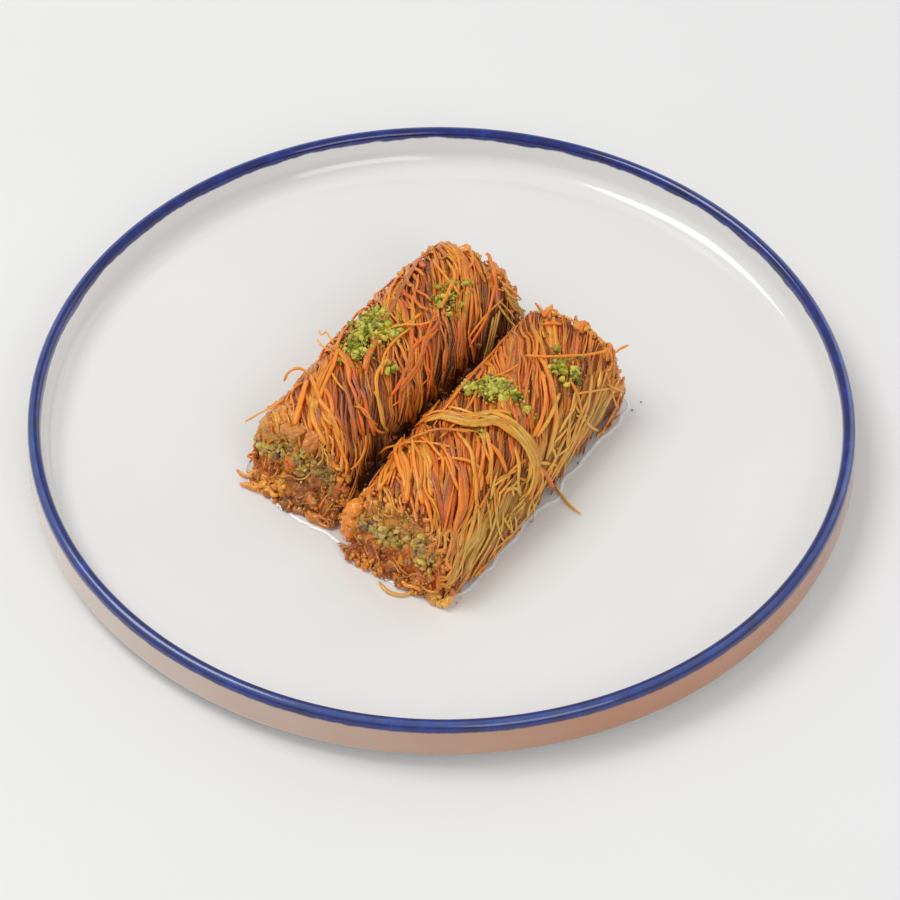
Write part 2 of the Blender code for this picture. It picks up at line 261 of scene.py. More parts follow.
LEFT = Roll(
    "roll_left",
    (-13.0, 9.4),
    turn=55.8,
    length=74.5,
    width=32.0,
    height=25.0,
    front_drop=0.17,
    front_slump=5.5,
    left_tuck=3.2,
    level=(0.50, 0.53),
    thick=(1.9, 3.7),
    phase=0.6,
    side_lean=math.radians(34),
    top_lean=math.radians(43),
    tints=(
        (-25, 0.58, 8, -0.4), (-34, 0.45, 7, 0.15), (-10, 0.62, 7, -0.2), (20, 0.45, 9, -0.1),
        (28, 0.65, 8, -0.05), (5, 0.7, 10, -0.25),
    ),
    seed=11,
)
RIGHT = Roll(
    "roll_right",
    (12.0, -16.5),
    turn=56.6,
    length=76.0,
    width=33.0,
    height=25.5,
    front_drop=0.14,
    front_slump=3.5,
    left_tuck=0.0,
    level=(0.49, 0.58),
    thick=(2.1, 4.6),
    phase=2.4,
    side_lean=math.radians(52),
    top_lean=math.radians(50),
    tints=(
        (-22, 0.5, 7, -0.3), (30, 0.5, 8, 0.1), (-28, 0.42, 8, 0.1), (-5, 0.92, 14, -0.3),
        (20, 0.93, 12, -0.35),
    ),
    seed=29,
)


def signed_volume(verts, faces):
    """Six times the volume that the faces enclose, negative where they face inwards."""
    total = 0.0
    for size in {len(face) for face in faces}:
        corners = verts[np.array([face for face in faces if len(face) == size])]
        for k in range(1, size - 1):
            total += np.einsum("ij,ij->i", corners[:, 0], np.cross(corners[:, k], corners[:, k + 1])).sum()
    return total


def build_mesh(name, verts, faces, traits=None):
    """A mesh from points in mm, with traits as four numbers on every point for its material to read."""
    verts = np.asarray(verts, float)
    if signed_volume(verts, faces) < 0:
        faces = [face[::-1] for face in faces]
    mesh = bpy.data.meshes.new(name)
    mesh.from_pydata((verts * MM).tolist(), [], faces)
    mesh.shade_smooth()
    if traits is not None:
        layer = mesh.attributes.new("traits", "FLOAT_COLOR", "POINT")
        layer.data.foreach_set("color", np.asarray(traits, np.float32).ravel())
    return mesh


def add_piece(mesh, finish, replaces=None):
    """Shows a mesh as a piece of its own name, in place of a solid's node where one is given."""
    obj = bpy.data.objects.new(mesh.name, mesh)
    bpy.context.scene.collection.objects.link(obj)
    mesh.materials.append(finish)
    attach(obj, "root")
    if replaces:
        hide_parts(replaces)


class Strands:
    """Strands gathered into one mesh. Traits are tone, from brown (0) to orange (1), pale, soaked and hue,
    from red (0) to golden (1)."""

    def __init__(self, sides=6):
        self.sides = sides
        self.verts, self.traits, self.quads, self.caps = [], [], [], []
        self.count, self.added = 0, 0
        self.streaks = np.random.default_rng(5).normal(0, 0.12, (97, sides))
        self.knots = np.random.default_rng(6).normal(1, 0.13, (97, 80))

    def add(self, path, ups, half_width, half_depth, tone, pale, soaked, hue=0.5):
        n, k = len(path), self.sides
        path = np.array(path)
        path[:, 2] = np.clip(path[:, 2], FLOOR_HEIGHT + CLEARANCE, TOP_HEIGHT - 0.5)
        tangent = normalised(np.gradient(path, axis=0))
        side = normalised(np.cross(tangent, ups))
        up = np.cross(side, tangent)
        angle = np.arange(k) / k * TAU
        taper = np.ones((n, 1, 1))
        taper[:, 0, 0] = np.clip(np.resize(self.knots[self.added % len(self.knots)], n), 0.6, 1.5)
        taper[[0, -1]] = 0.6
        width = np.broadcast_to(half_width, n)[:, None, None] * np.cos(angle)[None, :, None]
        depth = np.broadcast_to(half_depth, n)[:, None, None] * np.sin(angle)[None, :, None]
        ring = path[:, None] + taper * (width * side[:, None] + depth * up[:, None])
        self.verts.append(ring.reshape(-1, 3))
        traits = np.stack([np.broadcast_to(trait, n) for trait in (tone, pale, soaked, hue)], -1)
        traits = np.repeat(traits[:, None], k, axis=1)
        traits[..., 0] += self.streaks[self.added % len(self.streaks)]
        self.added += 1
        self.traits.append(traits.reshape(-1, 4))
        i, j = np.meshgrid(np.arange(n - 1), np.arange(k), indexing="ij")
        here, beside = i * k + j, i * k + (j + 1) % k
        quads = np.stack([here, here + k, beside + k, beside], -1).reshape(-1, 4) + self.count
        self.quads.append(quads)
        first = np.arange(k) + self.count
        self.caps += [first, first[::-1] + (n - 1) * k]
        self.count += n * k

    def mesh(self, name):
        faces = np.concatenate(self.quads).tolist() + [cap.tolist() for cap in self.caps]
        return build_mesh(name, np.concatenate(self.verts), faces, np.concatenate(self.traits))


def side_traits(roll, s, share, draw):
    """How pale and how soaked a strand is by its place: the right roll's outer side is pale; the sides that
    face the gap are soaked and dark, partly syrup and partly painted shade.
    """
    low_right, low_left = rise(share, 0.66, 0.16), rise(share, 0.30, -0.16)
    foot = rise(np.abs(share - 0.5), 0.40, 0.08)
    # Soaking on the sides that face the gap darkens them: partly syrup, partly painted shade.
    if roll is RIGHT:
        pale = 0.85 * low_right * (1 - 0.4 * rise(s, 20, 16)) * (1 - 0.8 * foot) + 0.25 * low_left
        soaked = 0.35 * foot + 0.35 * low_left
    else:
        pale = 0.3 * low_left
        soaked = 0.75 * low_right + 0.35 * foot
    return unit(pale + draw.uniform(-0.12, 0.12)), unit(soaked)


def longest_run(kept):
    """The places of the longest unbroken stretch of true values."""
    places = np.flatnonzero(kept)
    return max(np.split(places, np.flatnonzero(np.diff(places) > 1) + 1), key=len)


def add_wrap(batch, roll, draw, middle, reach, lift, tone, half_width, lean, wander, ends, curl_up=0.7):
    """One strand that winds round the roll, over a reach of shares, and crosses its top at middle."""
    first, last = reach
    steps = max(5, int(roll.arc * (last - first) / 1.7))
    t = np.linspace(0, 1, steps)
    share = first + (last - first) * t
    s = middle - roll.lean_shift(share, lean) + wander * ripple(t, draw, 1.8)
    s = s + roll.drift(s, share) + 0.1 * draw.normal(size=steps)
    height = lift + 0.16 * ripple(t, draw, 4) + 0.42 * roll.swell(s, share)
    front = -roll.half + ends[0] + 1.8 * abs(draw.normal()) - 0.4
    back = roll.half - ends[1] - 0.7 * abs(draw.normal())
    kept = longest_run((s > front) & (s < back) & ~roll.bare(s + draw.normal() * 1.3, share))
    if len(kept) < 4:
        return
    s, share, height = s[kept], share[kept], height[kept]
    t = np.linspace(0, 1, len(s))
    curl = draw.uniform(-0.5, curl_up) * unit(1 - t * 6) ** 2
    curl += draw.uniform(-0.5, curl_up) * unit(t * 6 - 5) ** 2
    over = np.maximum(0, np.abs(s) - roll.half)
    height = np.minimum(height + curl, LOOSEST_LIFT) - 0.3 * over**2 - roll.shoulder(s)
    width = half_width * (1 + 0.2 * ripple(t, draw, 3)) * (1 + 0.3 * unit(-(s + 18) / 10))
    pale, soaked = side_traits(roll, s, share, draw)
    hue = near(draw, 0.45 + 0.3 * roll.field(s.mean(), share.mean(), 16.0, 23), 0.2)
    # The tone takes the painted shade of the gap between the rolls.
    tone = unit(tone + 0.1 * ripple(t, draw, 1.5) + roll.patches(s, share)) * roll.brightness(share)
    depth = np.minimum(width * draw.uniform(0.5, 0.8), 0.4)
    batch.add(roll.on(s, share, height), roll.out(s, share), width, depth, tone, pale, soaked, hue)


def add_layer(batch, roll, draw, lift, pitch, half_width, tones, pieces, lean_spread, ends):
    """Strands all the way along the roll, each broken into a few pieces of random reach."""
    reach = roll.half + roll.lean_shift(1.0)
    for middle in np.arange(-reach, reach, pitch):
        lean = 1 + draw.normal() * lean_spread
        tone = draw.uniform(*tones)
        for _ in range(pieces):
            first = draw.uniform(0.0, 0.05) if pieces == 1 else draw.uniform(0.0, 0.6)
            last = draw.uniform(0.9, 0.98) if pieces == 1 else min(first + draw.uniform(0.25, 0.6), 0.98)
            place = middle + draw.normal() * 0.3
            level = lift + draw.normal() * 0.12
            shade = near(draw, tone, 0.07)
            width = half_width * draw.uniform(0.75, 1.3)
            add_wrap(batch, roll, draw, place, (first, last), level, shade, width, lean, 0.6, ends)


def add_locks(batch, roll, draw, count, lift, tones, lean_spread, ends):
    """Locks of strands that stick together side by side, with gaps between the locks."""
    reach = roll.half + roll.lean_shift(0.85)
    for _ in range(count):
        middle = draw.uniform(-reach, reach)
        lean = 1 + draw.normal() * lean_spread
        first = draw.uniform(0.08, 0.55)
        last = min(0.95, first + draw.uniform(0.18, 0.45))
        tone = draw.uniform(*tones)
        pitch = draw.uniform(0.7, 1.15)
        for k in range(draw.integers(2, 6)):
            place = middle + k * pitch
            start = np.clip(first + draw.normal() * 0.03, 0.02, 0.7)
            end = np.clip(last + draw.normal() * 0.04, start + 0.1, 0.97)
            level = lift + draw.normal() * 0.16
            shade = near(draw, tone, 0.08)
            width = np.clip(0.44 * math.exp(0.34 * draw.normal()), 0.26, 0.9)
            twist = lean + draw.normal() * 0.045
            add_wrap(batch, roll, draw, place, (start, end), level, shade, width, twist, 0.7, ends)


def add_mats(batch, roll, draw, count, firsts, lasts):
    """Broad matted strands low down on one side of a roll, with the ranges of the shares at both ends."""
    for _ in range(count):
        middle = draw.uniform(-roll.half, roll.half) + roll.lean_shift((firsts[0] + lasts[1]) / 2)
        reach = draw.uniform(*firsts), draw.uniform(*lasts)
        lift, tone, width = draw.normal(-0.1, 0.15), draw.uniform(0.35, 0.75), draw.uniform(0.5, 1.0)
        lean = 1 + 0.1 * draw.normal()
        add_wrap(batch, roll, draw, middle, reach, lift, tone, width, lean, 0.9, (-0.4, 1.5), 0.2)


def add_loose(batch, roll, draw, count, reach):
    """Short stray strands lying across the others in all directions, at shares within reach."""
    for _ in range(count):
        s = draw.uniform(-roll.half + 3, roll.half - 3)
        share = draw.uniform(*reach)
        length = draw.uniform(5, 20)
        heading = draw.normal() * 0.9
        bend = draw.normal() * 0.05
        steps = max(5, int(length / 1.6))
        t = np.linspace(0, length, steps)
        turn = heading + bend * t
        ds = -np.cumsum(np.sin(turn + 0.7)) * (t[1] - t[0])
        da = np.cumsum(np.cos(turn + 0.7)) * (t[1] - t[0])
        where = s + ds
        around = np.clip(share + da / roll.arc, 0.03, 0.97)
        kept = np.abs(where) < roll.half - 0.5
        if kept.sum() < 4:
            continue
        arch = draw.uniform(0.5, 1.0) + draw.uniform(0, 0.5) * np.sin(np.pi * t / length)
        where, around, arch = where[kept], around[kept], arch[kept]
        pale, soaked = side_traits(roll, where, around, draw)
        width, tone = draw.uniform(0.28, 0.45), draw.uniform(0.6, 1)
        path = roll.on(where, around, np.minimum(arch, LOOSEST_LIFT))
        batch.add(path, roll.out(where, around), width, width * 0.75, tone, pale, soaked * 0.4)


def through(points, step=1.4):
    """A smooth path through a few points."""
    points = np.asarray(points, float)
    gaps = np.linalg.norm(np.diff(points, axis=0), axis=1)
    padded = np.concatenate([2 * points[:1] - points[1:2], points, 2 * points[-1:] - points[-2:-1]])
    path = []
    for i, gap in enumerate(gaps):
        a, b, c, d = padded[i : i + 4]
        t = np.linspace(0, 1, max(2, int(gap / step)), endpoint=False)[:, None]
        bend = (2 * a - 5 * b + 4 * c - d) * t**2 + (3 * b - a - 3 * c + d) * t**3
        path.append(0.5 * (2 * b + (c - a) * t + bend))
    path.append(points[-1:])
    return np.concatenate(path)


def add_drawn(batch, roll, points, tone, pale=0.0, hue=0.5, half_width=0.42, bundle=None):
    """A strand through points of s, share and lift. A bundle is its count, its spread in mm and its draw."""
    copies, spread, draw = bundle or (1, 0.0, None)
    route = [(s, share * roll.arc, lift) for s, share, lift in points]
    for _ in range(copies):
        path = through(route)
        width, shade, tint, light = half_width, tone, hue, pale
        if draw is not None:
            t = np.linspace(0, 1, len(path))
            off = draw.normal(size=2)[None] + 0.6 * np.stack([ripple(t, draw), ripple(t, draw)], -1)
            path[:, :2] += spread * off
            path[:, 2] += 0.5 * draw.random() - 0.1
            path = path[(t >= draw.uniform(0, 0.14)) & (t <= 1 - draw.uniform(0, 0.14))]
            width *= draw.uniform(0.75, 1.25)
            shade, tint, light = near(draw, tone, 0.15), near(draw, hue, 0.2), near(draw, pale, 0.12)
        s, share = path[:, 0], path[:, 1] / roll.arc
        ups = roll.out(np.clip(s, -roll.half, roll.half), share)
        batch.add(roll.on(s, share, path[:, 2]), ups, width, width * 0.7, shade, light, 0.0, tint)


def add_rows(batch, roll, rows):
    """Single strands, each a row of tone, hue, pale, half width and its places as s, share and lift. Where no
    lift is given, it starts at 0.5 mm and goes on at 1.2 mm."""
    for tone, hue, pale, half_width, *places in rows:
        points = [(*place, 1.2 if k else 0.5)[:3] for k, place in enumerate(places)]
        add_drawn(batch, roll, points, tone, pale, hue, half_width)


def add_free(batch, rows):
    """Single strands, each a row of tone, pale, soaked, hue, half width and its world points in mm."""
    for tone, pale, soaked, hue, half_width, *points in rows:
        path = through(points)
        batch.add(path, (0.05, 0.1, 1.0), half_width, half_width * 0.8, tone, pale, soaked, hue)


# Strands that stand out in the photo: tone, hue, pale and half width, then s, share and sometimes lift
LEFT_ROWS = (
    (0.95, 0.5, 0.0, 0.8, (-24.2, 0.373), (-28.5, 0.407), (-34.0, 0.443), (-38.5, 0.468)),
    (0.95, 0.55, 0.0, 0.62, (-21.5, 0.35), (-26.8, 0.44), (-29.8, 0.493), (-31.2, 0.55), (-33.2, 0.597),
     (-35, 0.633)),
    (1.0, 0.55, 0.05, 0.66, (-28.5, 0.437), (-34.0, 0.5), (-36.8, 0.553), (-38.4, 0.605)),
    (0.8, 0.4, 0.0, 0.58, (-24.8, 0.447), (-27.8, 0.517), (-31.2, 0.563)),
    (0.95, 0.5, 0.15, 0.36, (-19.8, 0.43), (-22.8, 0.497), (-24.0, 0.547)),
    (0.95, 0.7, 0.25, 0.5, (-8.8, 0.557), (-9.5, 0.577), (-13, 0.58), (-16, 0.597), (-19.5, 0.647),
     (-22, 0.713), (-22, 0.76)),
    (0.38, 0.1, 0.1, 0.72, (-24.0, 0.553), (-27.8, 0.613), (-31.8, 0.69)),
    (0.32, 0.1, 0.1, 0.62, (-21.0, 0.5), (-24.5, 0.56), (-28.5, 0.63)),
    (0.8, 0.2, 0.1, 0.38, (-23.8, 0.593), (-25.2, 0.65), (-23.8, 0.713)),
    (0.7, 0.05, 0.0, 0.5, (-8.5, 0.657), (-13.2, 0.67), (-16.0, 0.673)),
    (0.75, 0.05, 0.0, 0.6, (-11.8, 0.72), (-12.8, 0.763), (-13.5, 0.813)),
    (0.75, 0.1, 0.0, 0.5, (4.5, 0.537), (-1.2, 0.6), (-6.2, 0.653)),
    (0.9, 0.5, 0.0, 0.5, (-29.0, 0.493), (-32.5, 0.57), (-35.0, 0.62), (-36.3, 0.67), (-36.6, 0.71),
     (-38.0, 0.74)),
    (0.9, 0.5, 0.0, 0.4, (-25.5, 0.6), (-24.5, 0.637), (-24.8, 0.72), (-22.5, 0.76)),
    (0.95, 0.8, 0.4, 0.42, (-18.5, 0.62), (-19.5, 0.65), (-22.0, 0.733), (-21.5, 0.767)),
    (0.9, 0.8, 0.3, 0.4, (28.0, 0.4), (25.0, 0.45), (22.5, 0.52), (20.0, 0.6)),
)
LEFT_LYING = (
    (0.95, 0.7, 0.0, 0.34, (-1.5, 0.5, 1.4), (1.8, 0.537, 1.7), (4.8, 0.577, 1.3), (9.0, 0.6, 1.0)),
    (0.9, 0.6, 0.0, 0.36, (-14.0, 0.6, 1.2), (-9.0, 0.56, 1.6), (-3.0, 0.553, 1.6), (2.5, 0.56, 1.3)),
    (0.95, 0.7, 0.0, 0.5, (28.5, 0.46, 0.9), (25.0, 0.53, 1.2), (19.5, 0.56, 1.5), (13.0, 0.585, 1.1)),
    (0.8, 0.1, 0.0, 0.42, (31, 0.66, 0.9), (26, 0.7, 1.3), (20.5, 0.73, 1.5), (13.0, 0.76, 1.0)),
)
LEFT_STICK = (
    0.95, 0.7, 0.1, 0.44, (-31.0, 0.34, 0.7), (-34.5, 0.33, 1.5), (-37.5, 0.31, 2.6), (-40.5, 0.29, 3.6),
)
LEFT_RED = ((10.5, 0.62, 0.9), (2, 0.64, 1.3), (-5.5, 0.665, 1.2), (-14.5, 0.7, 0.8))
LEFT_FALLS = ((1.5, 0.58, 0.8), (-2.0, 0.57, 0.74), (-4.5, 0.6, 0.8), (-8.5, 0.62, 0.8), (6.0, 0.6, 0.78))
LEFT_PALE_FALL = ((27.0, 0.75, 0.7), (22.0, 0.8, 1.4), (18.0, 0.87, 1.2), (16.5, 0.93, 0.7))
RIGHT_ROWS = (
    (0.95, 0.6, 0.0, 0.68, (-20.2, 0.3), (-23.2, 0.34), (-28.0, 0.423), (-36.5, 0.5)),
    (0.95, 0.5, 0.0, 0.64, (-23.2, 0.417), (-31.5, 0.5), (-35.2, 0.553)),
    (0.85, 0.5, 0.0, 0.5, (-20.5, 0.5), (-24.5, 0.57), (-26.8, 0.62)),
    (0.9, 0.5, 0.0, 0.6, (-23.8, 0.36), (-32.8, 0.377), (-36.2, 0.377)),
    (0.9, 0.7, 0.1, 0.45, (-23.5, 0.47), (-19.2, 0.577), (-18.8, 0.637), (-22.2, 0.677)),
    (0.35, 0.1, 0.0, 0.65, (-25.0, 0.48), (-30.0, 0.56), (-35.0, 0.64)),
    (0.95, 0.9, 0.5, 0.55, (-6.2, 0.667), (-8.8, 0.72), (-11.5, 0.77), (-11.8, 0.817)),
    (0.95, 0.9, 0.8, 0.32, (-20.2, 0.703), (-16.5, 0.707), (-12.8, 0.723)),
    (0.95, 0.9, 0.8, 0.32, (-18.0, 0.737), (-13.5, 0.763), (-11.2, 0.813)),
    (0.9, 0.4, 0.0, 0.66, (-11.0, 0.587), (-11.8, 0.64), (-13.2, 0.703)),
    (0.95, 0.9, 0.7, 0.4, (-15.0, 0.683), (-18.2, 0.697), (-21.0, 0.727)),
    (0.85, 0.3, 0.0, 0.62, (-2.0, 0.8), (0.0, 0.87), (2.2, 0.95)),
    (0.95, 0.9, 0.8, 0.34, (22.2, 0.823), (19.0, 0.807), (16.5, 0.77)),
    (1.0, 0.9, 0.9, 0.5, (31.0, 0.72), (28.2, 0.74), (27.0, 0.753)),
    (0.95, 0.9, 0.8, 0.48, (18.8, 0.72), (16.0, 0.74), (12.0, 0.747), (8.5, 0.76)),
    (0.95, 0.9, 0.7, 0.48, (4.2, 0.773), (4.5, 0.827), (-0.2, 0.843)),
    (0.95, 0.7, 0.3, 0.6, (15.5, 0.663), (7.8, 0.69), (0.8, 0.7)),
    (0.9, 0.5, 0.05, 0.6, (16.8, 0.563), (10.5, 0.637), (4.2, 0.677), (-0.2, 0.69)),
)
RIGHT_OVER_GAP = (
    0.95, 0.6, 0.0, 0.36, (-20.0, 0.18, 4.0), (-21.0, 0.25, 3.0), (-21.2, 0.32, 1.8), (-20.0, 0.42, 1.4),
    (-17.8, 0.527, 1.1),
)
RIGHT_LYING = (
    (0.95, 0.65, 0.0, 0.38, (18.2, 0.477, 1.3), (21.5, 0.553, 1.6), (28, 0.627, 1.5), (33, 0.665, 1.3),
     (35.5, 0.68, 1.2)),
    (0.95, 0.65, 0.0, 0.34, (36.5, 0.71, 0.6), (38.0, 0.7, 2.5), (39.5, 0.7, 4.4)),
)
RIGHT_BEND = (
    (-12.5, 0.31, 0.7), (-10.5, 0.38, 1.1), (-8.8, 0.497, 1.5), (-5.0, 0.54, 1.8), (-4.0, 0.607, 2.1),
    (-3.8, 0.677, 2.4), (-4.2, 0.727, 2.4), (-6.5, 0.773, 2.2), (-9.2, 0.81, 1.8), (-11.8, 0.83, 1.4),
)
RIGHT_COMBED = (
    ((-14.5, 0.267, 0.9), (-24.0, 0.37, 1.3), (-35.8, 0.503, 0.8)),
    ((-19.5, 0.413, 0.9), (-26.0, 0.49, 1.3), (-33.8, 0.583, 0.8)),
    ((-17.0, 0.4, 0.9), (-20.0, 0.5, 1.3), (-27.0, 0.62, 0.8)),
    ((-13.0, 0.47, 0.9), (-17.0, 0.57, 1.3), (-26.0, 0.69, 0.8)),
    ((-9.5, 0.52, 0.9), (-14.0, 0.62, 1.3), (-22.5, 0.72, 0.8)),
    ((-16.0, 0.33, 0.9), (-27.0, 0.44, 1.3), (-37.5, 0.55, 0.8)),
)
RIGHT_CROSS = ((-24.5, 0.26, 1.0), (-20.0, 0.36, 1.5), (-15.0, 0.45, 1.7), (-10.5, 0.56, 1.7))
# Tone, pale, soaked, hue and half width, then world points
LEFT_FREE = (
    (0.95, 0.15, 0.0, 0.7, 0.44, (-31.5, -7.5, 23.0), (-32.1, -5.5, 24.2), (-33.2, -3.0, 25.2),
     (-34.7, -1.9, 26.0), (-36.2, -1.5, 26.3), (-37.7, -1.8, 26.0), (-39.0, -2.4, 25.0), (-39.7, -3.4, 23.5)),
    (0.9, 0.1, 0.0, 0.6, 0.4, (-34.2, -4.6, 24.6), (-37.0, -7.2, 25.0), (-38.0, -9.2, 22.0),
     (-37.5, -9.9, 19.5), (-36.0, -10.4, 17.5)),
    (0.95, 0.7, 0.0, 0.9, 0.26, (-31.4, 10.4, 28.0), (-30.8, 9.2, 27.4), (-29.6, 10.1, 27.6),
     (-28.5, 8.6, 27.0), (-27.0, 6.4, 26.0)),
    (0.95, 0.6, 0.0, 0.9, 0.3, (-31.8, 8.1, 27.0), (-30.7, 6.5, 26.5), (-29.2, 5.6, 26.0),
     (-27.5, 4.0, 25.0)),
)
RIGHT_FREE = (
    (0.85, 0.6, 0.15, 0.8, 0.42, (24.6, -13.8, 8.5), (27.4, -17.8, 6.2), (29.6, -22.3, 4.9),
     (32.3, -27.0, 4.7), (35.0, -30.0, 4.9)),
    (0.85, 0.75, 0.1, 0.9, 0.5, (-14.6, -53.4, 4.9), (-12.8, -56.0, 4.8), (-9.5, -57.4, 4.8),
     (-6.2, -56.1, 4.9), (-2.5, -53.6, 5.6)),
    (0.95, 0.3, 0.2, 0.8, 0.46, (-51.4, -17.2, 5.4), (-50.7, -18.0, 5.0), (-48.6, -19.3, 4.9),
     (-46.5, -18.6, 5.1), (-43.0, -17.0, 6.0)),
)


def draw_left_strands(batch, draw):
    """The strands that stand out on the left roll."""
    add_rows(batch, LEFT, LEFT_ROWS)
    add_drawn(batch, LEFT, LEFT_RED, 0.75, hue=0.12, half_width=0.4, bundle=(4, 1.5, draw))
    for shift, first, last in LEFT_FALLS:
        s = np.linspace(3 + shift, -8 + shift, 5)
        fall = [(a, b, 0.9) for a, b in zip(s, np.linspace(first, last, 5))]
        add_drawn(batch, LEFT, fall, 0.72, hue=0.2, half_width=0.42, bundle=(3, 1.1, draw))
    add_rows(batch, LEFT, LEFT_LYING)
    add_free(batch, LEFT_FREE)
    add_rows(batch, LEFT, [LEFT_STICK])
    for _ in range(11):
        s, share = draw.uniform(29.0, 35.5), draw.uniform(0.66, 0.76)
        out, bow = draw.uniform(0.0, 1.5), 1.5 * draw.normal()
        middle, tip = (s + 1.2 + bow, share + 0.05, 0.9), (min(s + 2.5, 38.0), share + 0.11, 0.5 + out)
        points = [(s, share, 0.4), middle, tip]
        add_drawn(batch, LEFT, points, 0.95, pale=0.65, hue=1.0, half_width=draw.uniform(0.26, 0.42))
    for shift in (-1.6, 0.0, 1.4):
        points = [(s + shift, share, lift) for s, share, lift in LEFT_PALE_FALL]
        add_drawn(batch, LEFT, points, 0.8, pale=0.9, hue=0.6, half_width=0.36)


def draw_right_strands(batch, draw):
    """The strands that stand out on the right roll, with the thick bundle that bends round to the front."""
    add_rows(batch, RIGHT, RIGHT_ROWS)
    add_drawn(batch, RIGHT, RIGHT_BEND, 1.0, pale=0.2, hue=0.9, half_width=0.5, bundle=(9, 1.2, draw))
    add_drawn(batch, RIGHT, RIGHT_BEND[2:], 1.0, pale=0.5, hue=0.9, half_width=0.34, bundle=(4, 1.8, draw))
    add_drawn(batch, RIGHT, RIGHT_BEND[:6], 0.9, hue=0.35, half_width=0.42, bundle=(3, 1.2, draw))
    for points in RIGHT_COMBED:
        add_drawn(batch, RIGHT, points, 0.92, hue=0.5, half_width=0.56, bundle=(2, 0.9, draw))
    add_rows(batch, RIGHT, [RIGHT_OVER_GAP])
    for _ in range(16):
        at, around = draw.uniform(-17.0, -4.0), draw.uniform(0.73, 0.88)
        turn = draw.normal(size=4)
        bent, low = at + 2.2 * turn[0], around + 0.03 * turn[1]
        tip = (bent + 2.5 * turn[2], low + 0.045 * abs(turn[3]), 1.0)
        pale, half_width = draw.uniform(0.4, 0.9), draw.uniform(0.24, 0.4)
        points = [(at, around, 0.7), (bent, low, 1.6), tip]
        add_drawn(batch, RIGHT, points, 0.9, pale=pale, hue=0.8, half_width=half_width)
    add_drawn(batch, RIGHT, RIGHT_CROSS, 0.9, hue=0.5, half_width=0.36, bundle=(3, 0.6, draw))
    add_rows(batch, RIGHT, RIGHT_LYING)
    for shift in (3.0, -3.5, 8.0):
        bow = draw.normal() * 1.5
        upper, lower = (18 + shift + bow, 0.76, 1.2), (10 + shift - bow, 0.84, 1.1)
        points = [(25 + shift, 0.68, 0.8), upper, lower, (-1 + shift, 0.93, 0.6)]
        add_drawn(batch, RIGHT, points, 0.8, pale=0.6, hue=0.8, half_width=0.4, bundle=(2, 1.2, draw))
    add_free(batch, RIGHT_FREE)


def closed_grid(rows, columns):
    """Faces of a tube-like grid of rows of columns points, each row closed on itself."""
    i, j = np.meshgrid(np.arange(rows - 1), np.arange(columns), indexing="ij")
    here, beside = i * columns + j, i * columns + (j + 1) % columns
    return np.stack([here, beside, beside + columns, here + columns], -1).reshape(-1, 4).tolist()


def capped_grid(rows, columns):
    """Faces of a closed grid with one more face over each end."""
    total = rows * columns
    ends = [list(range(columns))[::-1], list(range(total - columns, total))]
    return closed_grid(rows, columns) + ends


# The grid of a roll's core: points around it, rows along it and rings on each cut face
CORE_AROUND = 230
CORE_UPPER = int(CORE_AROUND * 0.76)
CORE_ROWS = 110
CORE_RINGS = 36
CORE_SHARE = np.concatenate([np.linspace(0, 1, CORE_UPPER), np.ones(CORE_AROUND - CORE_UPPER)])
CORE_BOTTOM = np.concatenate([np.zeros(CORE_UPPER), np.linspace(0, 1, CORE_AROUND - CORE_UPPER + 2)[1:-1]])


def core_ring(roll, along, depth, groove):
    """One closed line of the core, at a depth from 0 (its middle) to 1 (its surface)."""
    share, bottom = CORE_SHARE, CORE_BOTTOM
    along = np.full(CORE_AROUND, float(along))
    across, up = roll.outline(along, share)
    width, height = roll.size(along)
    across = np.where(bottom > 0, width / 2 * (1 - 2 * bottom), across) * depth
    middle = height * 0.42
    up = middle + (np.where(bottom > 0, 0.0, up) - middle) * depth
    s = along * roll.half
    lane = (s + roll.lean_shift(share) - roll.drift(s, share)) / 0.8
    inset = 1.25 - groove * 0.3 * np.abs(np.sin(math.pi * lane)) + roll.shoulder(s)
    inset = inset + groove * 0.7 * rise(np.minimum(share, 1 - share), 0.26, -0.14)
    shrink = 1 - inset / (np.hypot(across, up - middle) + 1e-6) * depth
    up = np.where(bottom > 0, up, middle + (up - middle) * shrink)
    return roll.place(along, across * shrink, np.maximum(up, 0.0))


def core_cap(roll, end, depths):
    """The crumbly rings of a cut face."""
    heading = np.array([math.cos(roll.heading), math.sin(roll.heading), 0.0])
    rings = []
    for depth in depths:
        ring = core_ring(roll, end, depth, 0.0)
        push = 0.6 * waves(ring, 5.5, roll.seed + 4) + 0.6 * np.abs(waves(ring, 3.0, roll.seed))
        push = push + 0.4 * np.abs(waves(ring, 1.5, roll.seed + 1)) - 1.15
        push = push + roll.flare(ring[:, 2] - ROLL_BOTTOM, end)
        rings.append(ring + end * push[:, None] * heading)
    return rings


